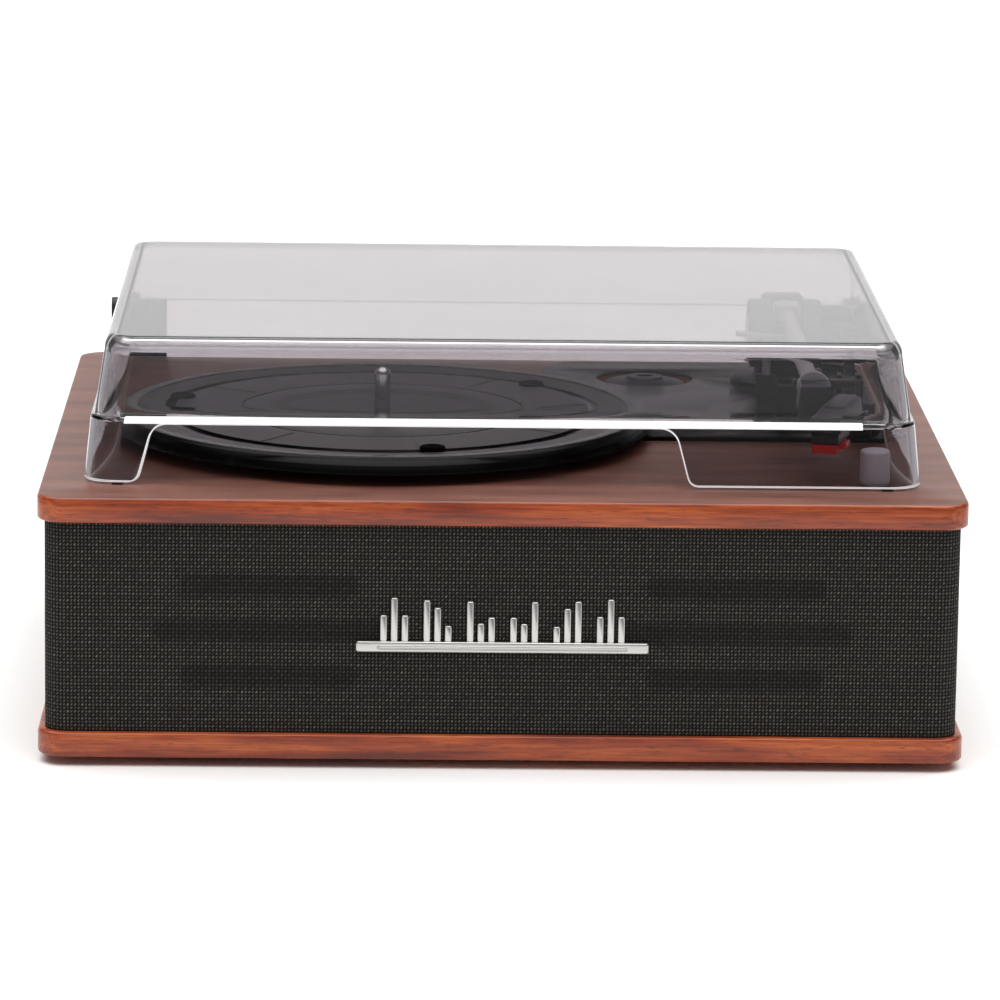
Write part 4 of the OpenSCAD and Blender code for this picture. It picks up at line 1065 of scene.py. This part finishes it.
def door_side(foot):
    """Points up a left side, with the direction that leads away from the opening at each.

    The foot is an arc round a centre in the wall, and the upper corner an arc round a centre in the
    opening. Each centre lies one radius from the leaning line, measured at a right angle to it.
    """
    c, s = math.cos(DOOR_LEAN), math.sin(DOOR_LEAN)
    height = DOOR_TOP - COVER_FOOT
    low = np.linspace(-math.pi / 2, -DOOR_LEAN, 8)
    high = np.linspace(math.pi - DOOR_LEAN, math.pi / 2, 10)
    low_x = foot - DOOR_FLARE * (1 - s) / c
    high_x = foot + (DOOR_ROUND + (height - DOOR_ROUND) * s) / c
    flare = np.stack([low_x + DOOR_FLARE * np.cos(low), DOOR_FLARE * (1 + np.sin(low)),
                      -np.cos(low), -np.sin(low)])
    corner = np.stack([high_x + DOOR_ROUND * np.cos(high), height - DOOR_ROUND * (1 - np.sin(high)),
                       np.cos(high), np.sin(high)])
    share = np.linspace(0, 1, 9)[1:-1]
    side = flare[:, -1:] + (corner[:, :1] - flare[:, -1:]) * share
    return np.concatenate([flare, side, corner], axis=1)


def doorway():
    """The doorway from left foot to right foot: x, z and the direction away from the opening."""
    left = door_side(DOOR_LEFT)
    right = door_side(-DOOR_RIGHT)[:, ::-1] * np.array([[-1], [1], [-1], [1]])
    x = np.linspace(left[0, -1], right[0, 0], 27)[1:-1]
    middle = np.stack([x, np.full_like(x, DOOR_TOP - COVER_FOOT), 0 * x, 0 * x + 1])
    x, z, nx, nz = np.concatenate([left, middle, right], axis=1)
    return x, z + COVER_FOOT, nx, nz


def cover_columns():
    """X of the front's columns, the height of their feet, and the direction away from the edge."""
    x, z, nx, nz = doorway()
    before = np.linspace(-169, x[0] - 0.8, 3)
    after = np.linspace(x[-1] + 0.8, 169, 14)
    flat = [np.full(len(k), v) for k in (before, after) for v in (COVER_FOOT, 0.0, 1.0)]
    return (np.concatenate([before, x, after]), np.concatenate([flat[0], z, flat[3]]),
            np.concatenate([flat[1], nx, flat[4]]), np.concatenate([flat[2], nz, flat[5]]))


def cover_loop(half, front, rear, radius, front_x):
    """Plan of one level: front run, corner, right side, corner, rear, corner, left side, corner.

    Front columns more than 150 mm from the middle close up in proportion, so that they end where the
    corner starts.
    """
    turn = np.linspace(0, math.pi / 2, 15)
    beyond = np.maximum(np.abs(front_x) - 150, 0)
    front_x = front_x - np.sign(front_x) * beyond * (1 - (half - radius - 150.1) / 19.4)
    along_side = np.linspace(front + radius, rear - radius, 16)[1:-1]
    along_rear = np.linspace(half - radius, radius - half, 26)[1:-1]

    def corner(cx, cy, start):
        return np.stack([cx + radius * np.cos(start + turn), cy + radius * np.sin(start + turn)], -1)

    return np.concatenate([
        np.stack([front_x, np.full_like(front_x, front)], -1),
        corner(half - radius, front + radius, -math.pi / 2),
        np.stack([np.full_like(along_side, half), along_side], -1),
        corner(half - radius, rear - radius, 0.0),
        np.stack([along_rear, np.full_like(along_rear, rear)], -1),
        corner(radius - half, rear - radius, math.pi / 2),
        np.stack([np.full_like(along_side, -half), along_side[::-1]], -1),
        corner(radius - half, front + radius, math.pi)])


def crown_levels(drop, shrink):
    """Levels of the crown: straight walls, a quarter ellipse up to the rim, and the flat top.

    Drop lowers each level and shrink draws it in, which gives the inner face of the wall.
    """
    base = LEDGE + 0.4 - drop
    knee = COVER_TOP - CROWN_ROUND - drop
    start = (base + drop - CROWN_FOOT_Z) / (COVER_TOP - CROWN_ROUND - CROWN_FOOT_Z)
    share = np.linspace(0, 1, 5)
    walls = [(base + (knee - base) * s, *(CROWN_FOOT + (CROWN_KNEE - CROWN_FOOT) * (start + (1 - start) * s)))
             for s in share]
    tilt = np.linspace(0, math.pi / 2, 9)[1:]
    rounded = [(knee + CROWN_ROUND * math.sin(t),
                *(CROWN_KNEE + (CROWN_RIM - CROWN_KNEE) * (1 - math.cos(t)))) for t in tilt]
    z, half, front, rear, r = rounded[-1]
    flat = [(z, half - k, front + k, rear - k, r - 0.3) for k in (1.0, 3.0)]
    return [(z, half - shrink, front + shrink, rear - shrink, r - shrink / 2)
            for z, half, front, rear, r in walls + rounded + flat]


def make_cover():
    front_x, foot_z, away_x, away_z = cover_columns()
    half, front, rear, radius = SKIRT_FOOT
    base = cover_loop(half, front, rear, radius, front_x)
    inward = cover_loop(half - 1, front + 1, rear - 1, radius, front_x) - base
    extra = len(base) - len(front_x)
    foot = np.concatenate([foot_z, np.full(extra, COVER_FOOT)])
    nx = np.concatenate([away_x, np.zeros(extra)])
    nz = np.concatenate([away_z, np.ones(extra)])

    def skirt_point(z, depth, shift_x):
        inset = 2.9 * (z - COVER_FOOT) / (LEDGE - COVER_FOOT) + depth
        plan = base + inward * inset[:, None]
        return np.column_stack([plan[:, 0] + shift_x, plan[:, 1], z])

    def skirt_rows(top, depth):
        low = foot + nz * EDGE_ROUND
        shares = np.linspace(0, 1, 6)
        return [skirt_point(low + (top - low) * f, depth, nx * EDGE_ROUND * (1 - f)) for f in shares]

    def level(z, *plan):
        return np.column_stack([cover_loop(*plan, front_x), np.full(len(base), z)])

    outer_top = [level(*row) for row in crown_levels(0.0, 0.0)][::-1]
    ledge = [level(LEDGE, 177.2, -144.75, 162.4, 11.0), level(LEDGE, 178.0, -145.5, 164.5, 11.5),
             level(LEDGE - 0.2, 178.45, -145.95, 164.95, 11.9),
             skirt_point(np.full(len(foot), LEDGE - 0.7), 0.0, 0.0)]
    outer_skirt = skirt_rows(LEDGE - HIGHLIGHT_BAND_HEIGHT, 0.0)[::-1]
    rim = [skirt_point(foot, depth, 0.0) for depth in (EDGE_ROUND, WALL - EDGE_ROUND)]
    inner_skirt = skirt_rows(LEDGE - WALL, WALL)
    inner_ledge = [level(LEDGE - WALL + 0.2, 174.9, -142.4, 160.6, 9.8)]
    inner_top = [level(*row) for row in crown_levels(WALL, WALL)]
    rows = outer_top + ledge + outer_skirt + rim + inner_skirt + inner_ledge + inner_top
    # Faces with the painted highlight: three rows round the foot's edge, and the ledge in front.
    painted_highlight_faces = np.zeros((len(rows) - 1, len(base)), dtype=int)
    first_rim = len(outer_top) + len(ledge) + len(outer_skirt) - 1
    painted_highlight_faces[first_rim:first_rim + 3] = 1
    highlight_columns = (base[:, 1] < front + 0.1) & (np.abs(base[:, 0] - HIGHLIGHT_BAND_MIDDLE) < HIGHLIGHT_BAND_HALF)
    painted_highlight_faces[len(outer_top) - 1:len(outer_top) + len(ledge), highlight_columns] = 1
    cover = piece_of_stacks("dust_cover_moulded", [np.array(rows)], [smoke_acrylic, painted_edge_highlight], painted_highlight_faces,
                            smooth_deg=40)
    return stands_for(cover, "dust_cover")


cover = make_cover()
print("cover:", len(cover.data.polygons), "faces")

# %% [markdown]
# Everything else keeps its CAD shape. Pieces that show get softened edges, and the hidden works
# inside the cabinet are only given their finish.

# %% Finish the remaining nodes
for node, material, width in [
        ("control_plate", gloss_black, 0.35), ("cue_guide", satin_black, 0.3),
        ("cue_lever", satin_black, 0.4),
        ("speed_lever", satin_black, 0.3), ("autostop_lever", satin_black, 0.3),
        ("hinge_base_left", hinge_black, 0.4), ("hinge_base_right", hinge_black, 0.4),
        ("hinge_leaves", hinge_black, 0.4), ("rubber_feet", foot_rubber, 0.5),
        ("cover_bumpers", foot_rubber, 0.25), ("rear_jack_plate", satin_black, 0.3),
        ("rca_jack_left", jack_white, 0.3), ("rca_jack_right", jack_red, 0.3), ("aux_jack", satin_black, 0.3),
        ("dc_jack", satin_black, 0.3), ("rear_wall", board_black, 0.4)]:
    softened(node, material, width)

for material, nodes in {
        board_black: ["front_baffle", "left_side_wall", "right_side_wall"], raw_pine: ["corner_posts"],
        zinc_steel: ["wood_screws", "motor_screws", "spindle_clip", "hinge_pins"],
        drawn_steel: ["drive_motor"],
        turned_brass: ["bearing_bush", "motor_pulley"], foot_rubber: ["drive_belt"],
        circuit_green: ["main_board"], part_black: ["board_parts", "volume_pot"],
        painted_steel: ["speaker_frame_left", "speaker_frame_right"],
        cone_paper: ["speaker_cone_left", "speaker_cone_right"],
        ferrite: ["speaker_magnet_left", "speaker_magnet_right"],
        polished_steel: ["motor_shaft", "pivot_pins"]}.items():
    for node in nodes:
        dress(node, material)
print("all nodes have a finish")
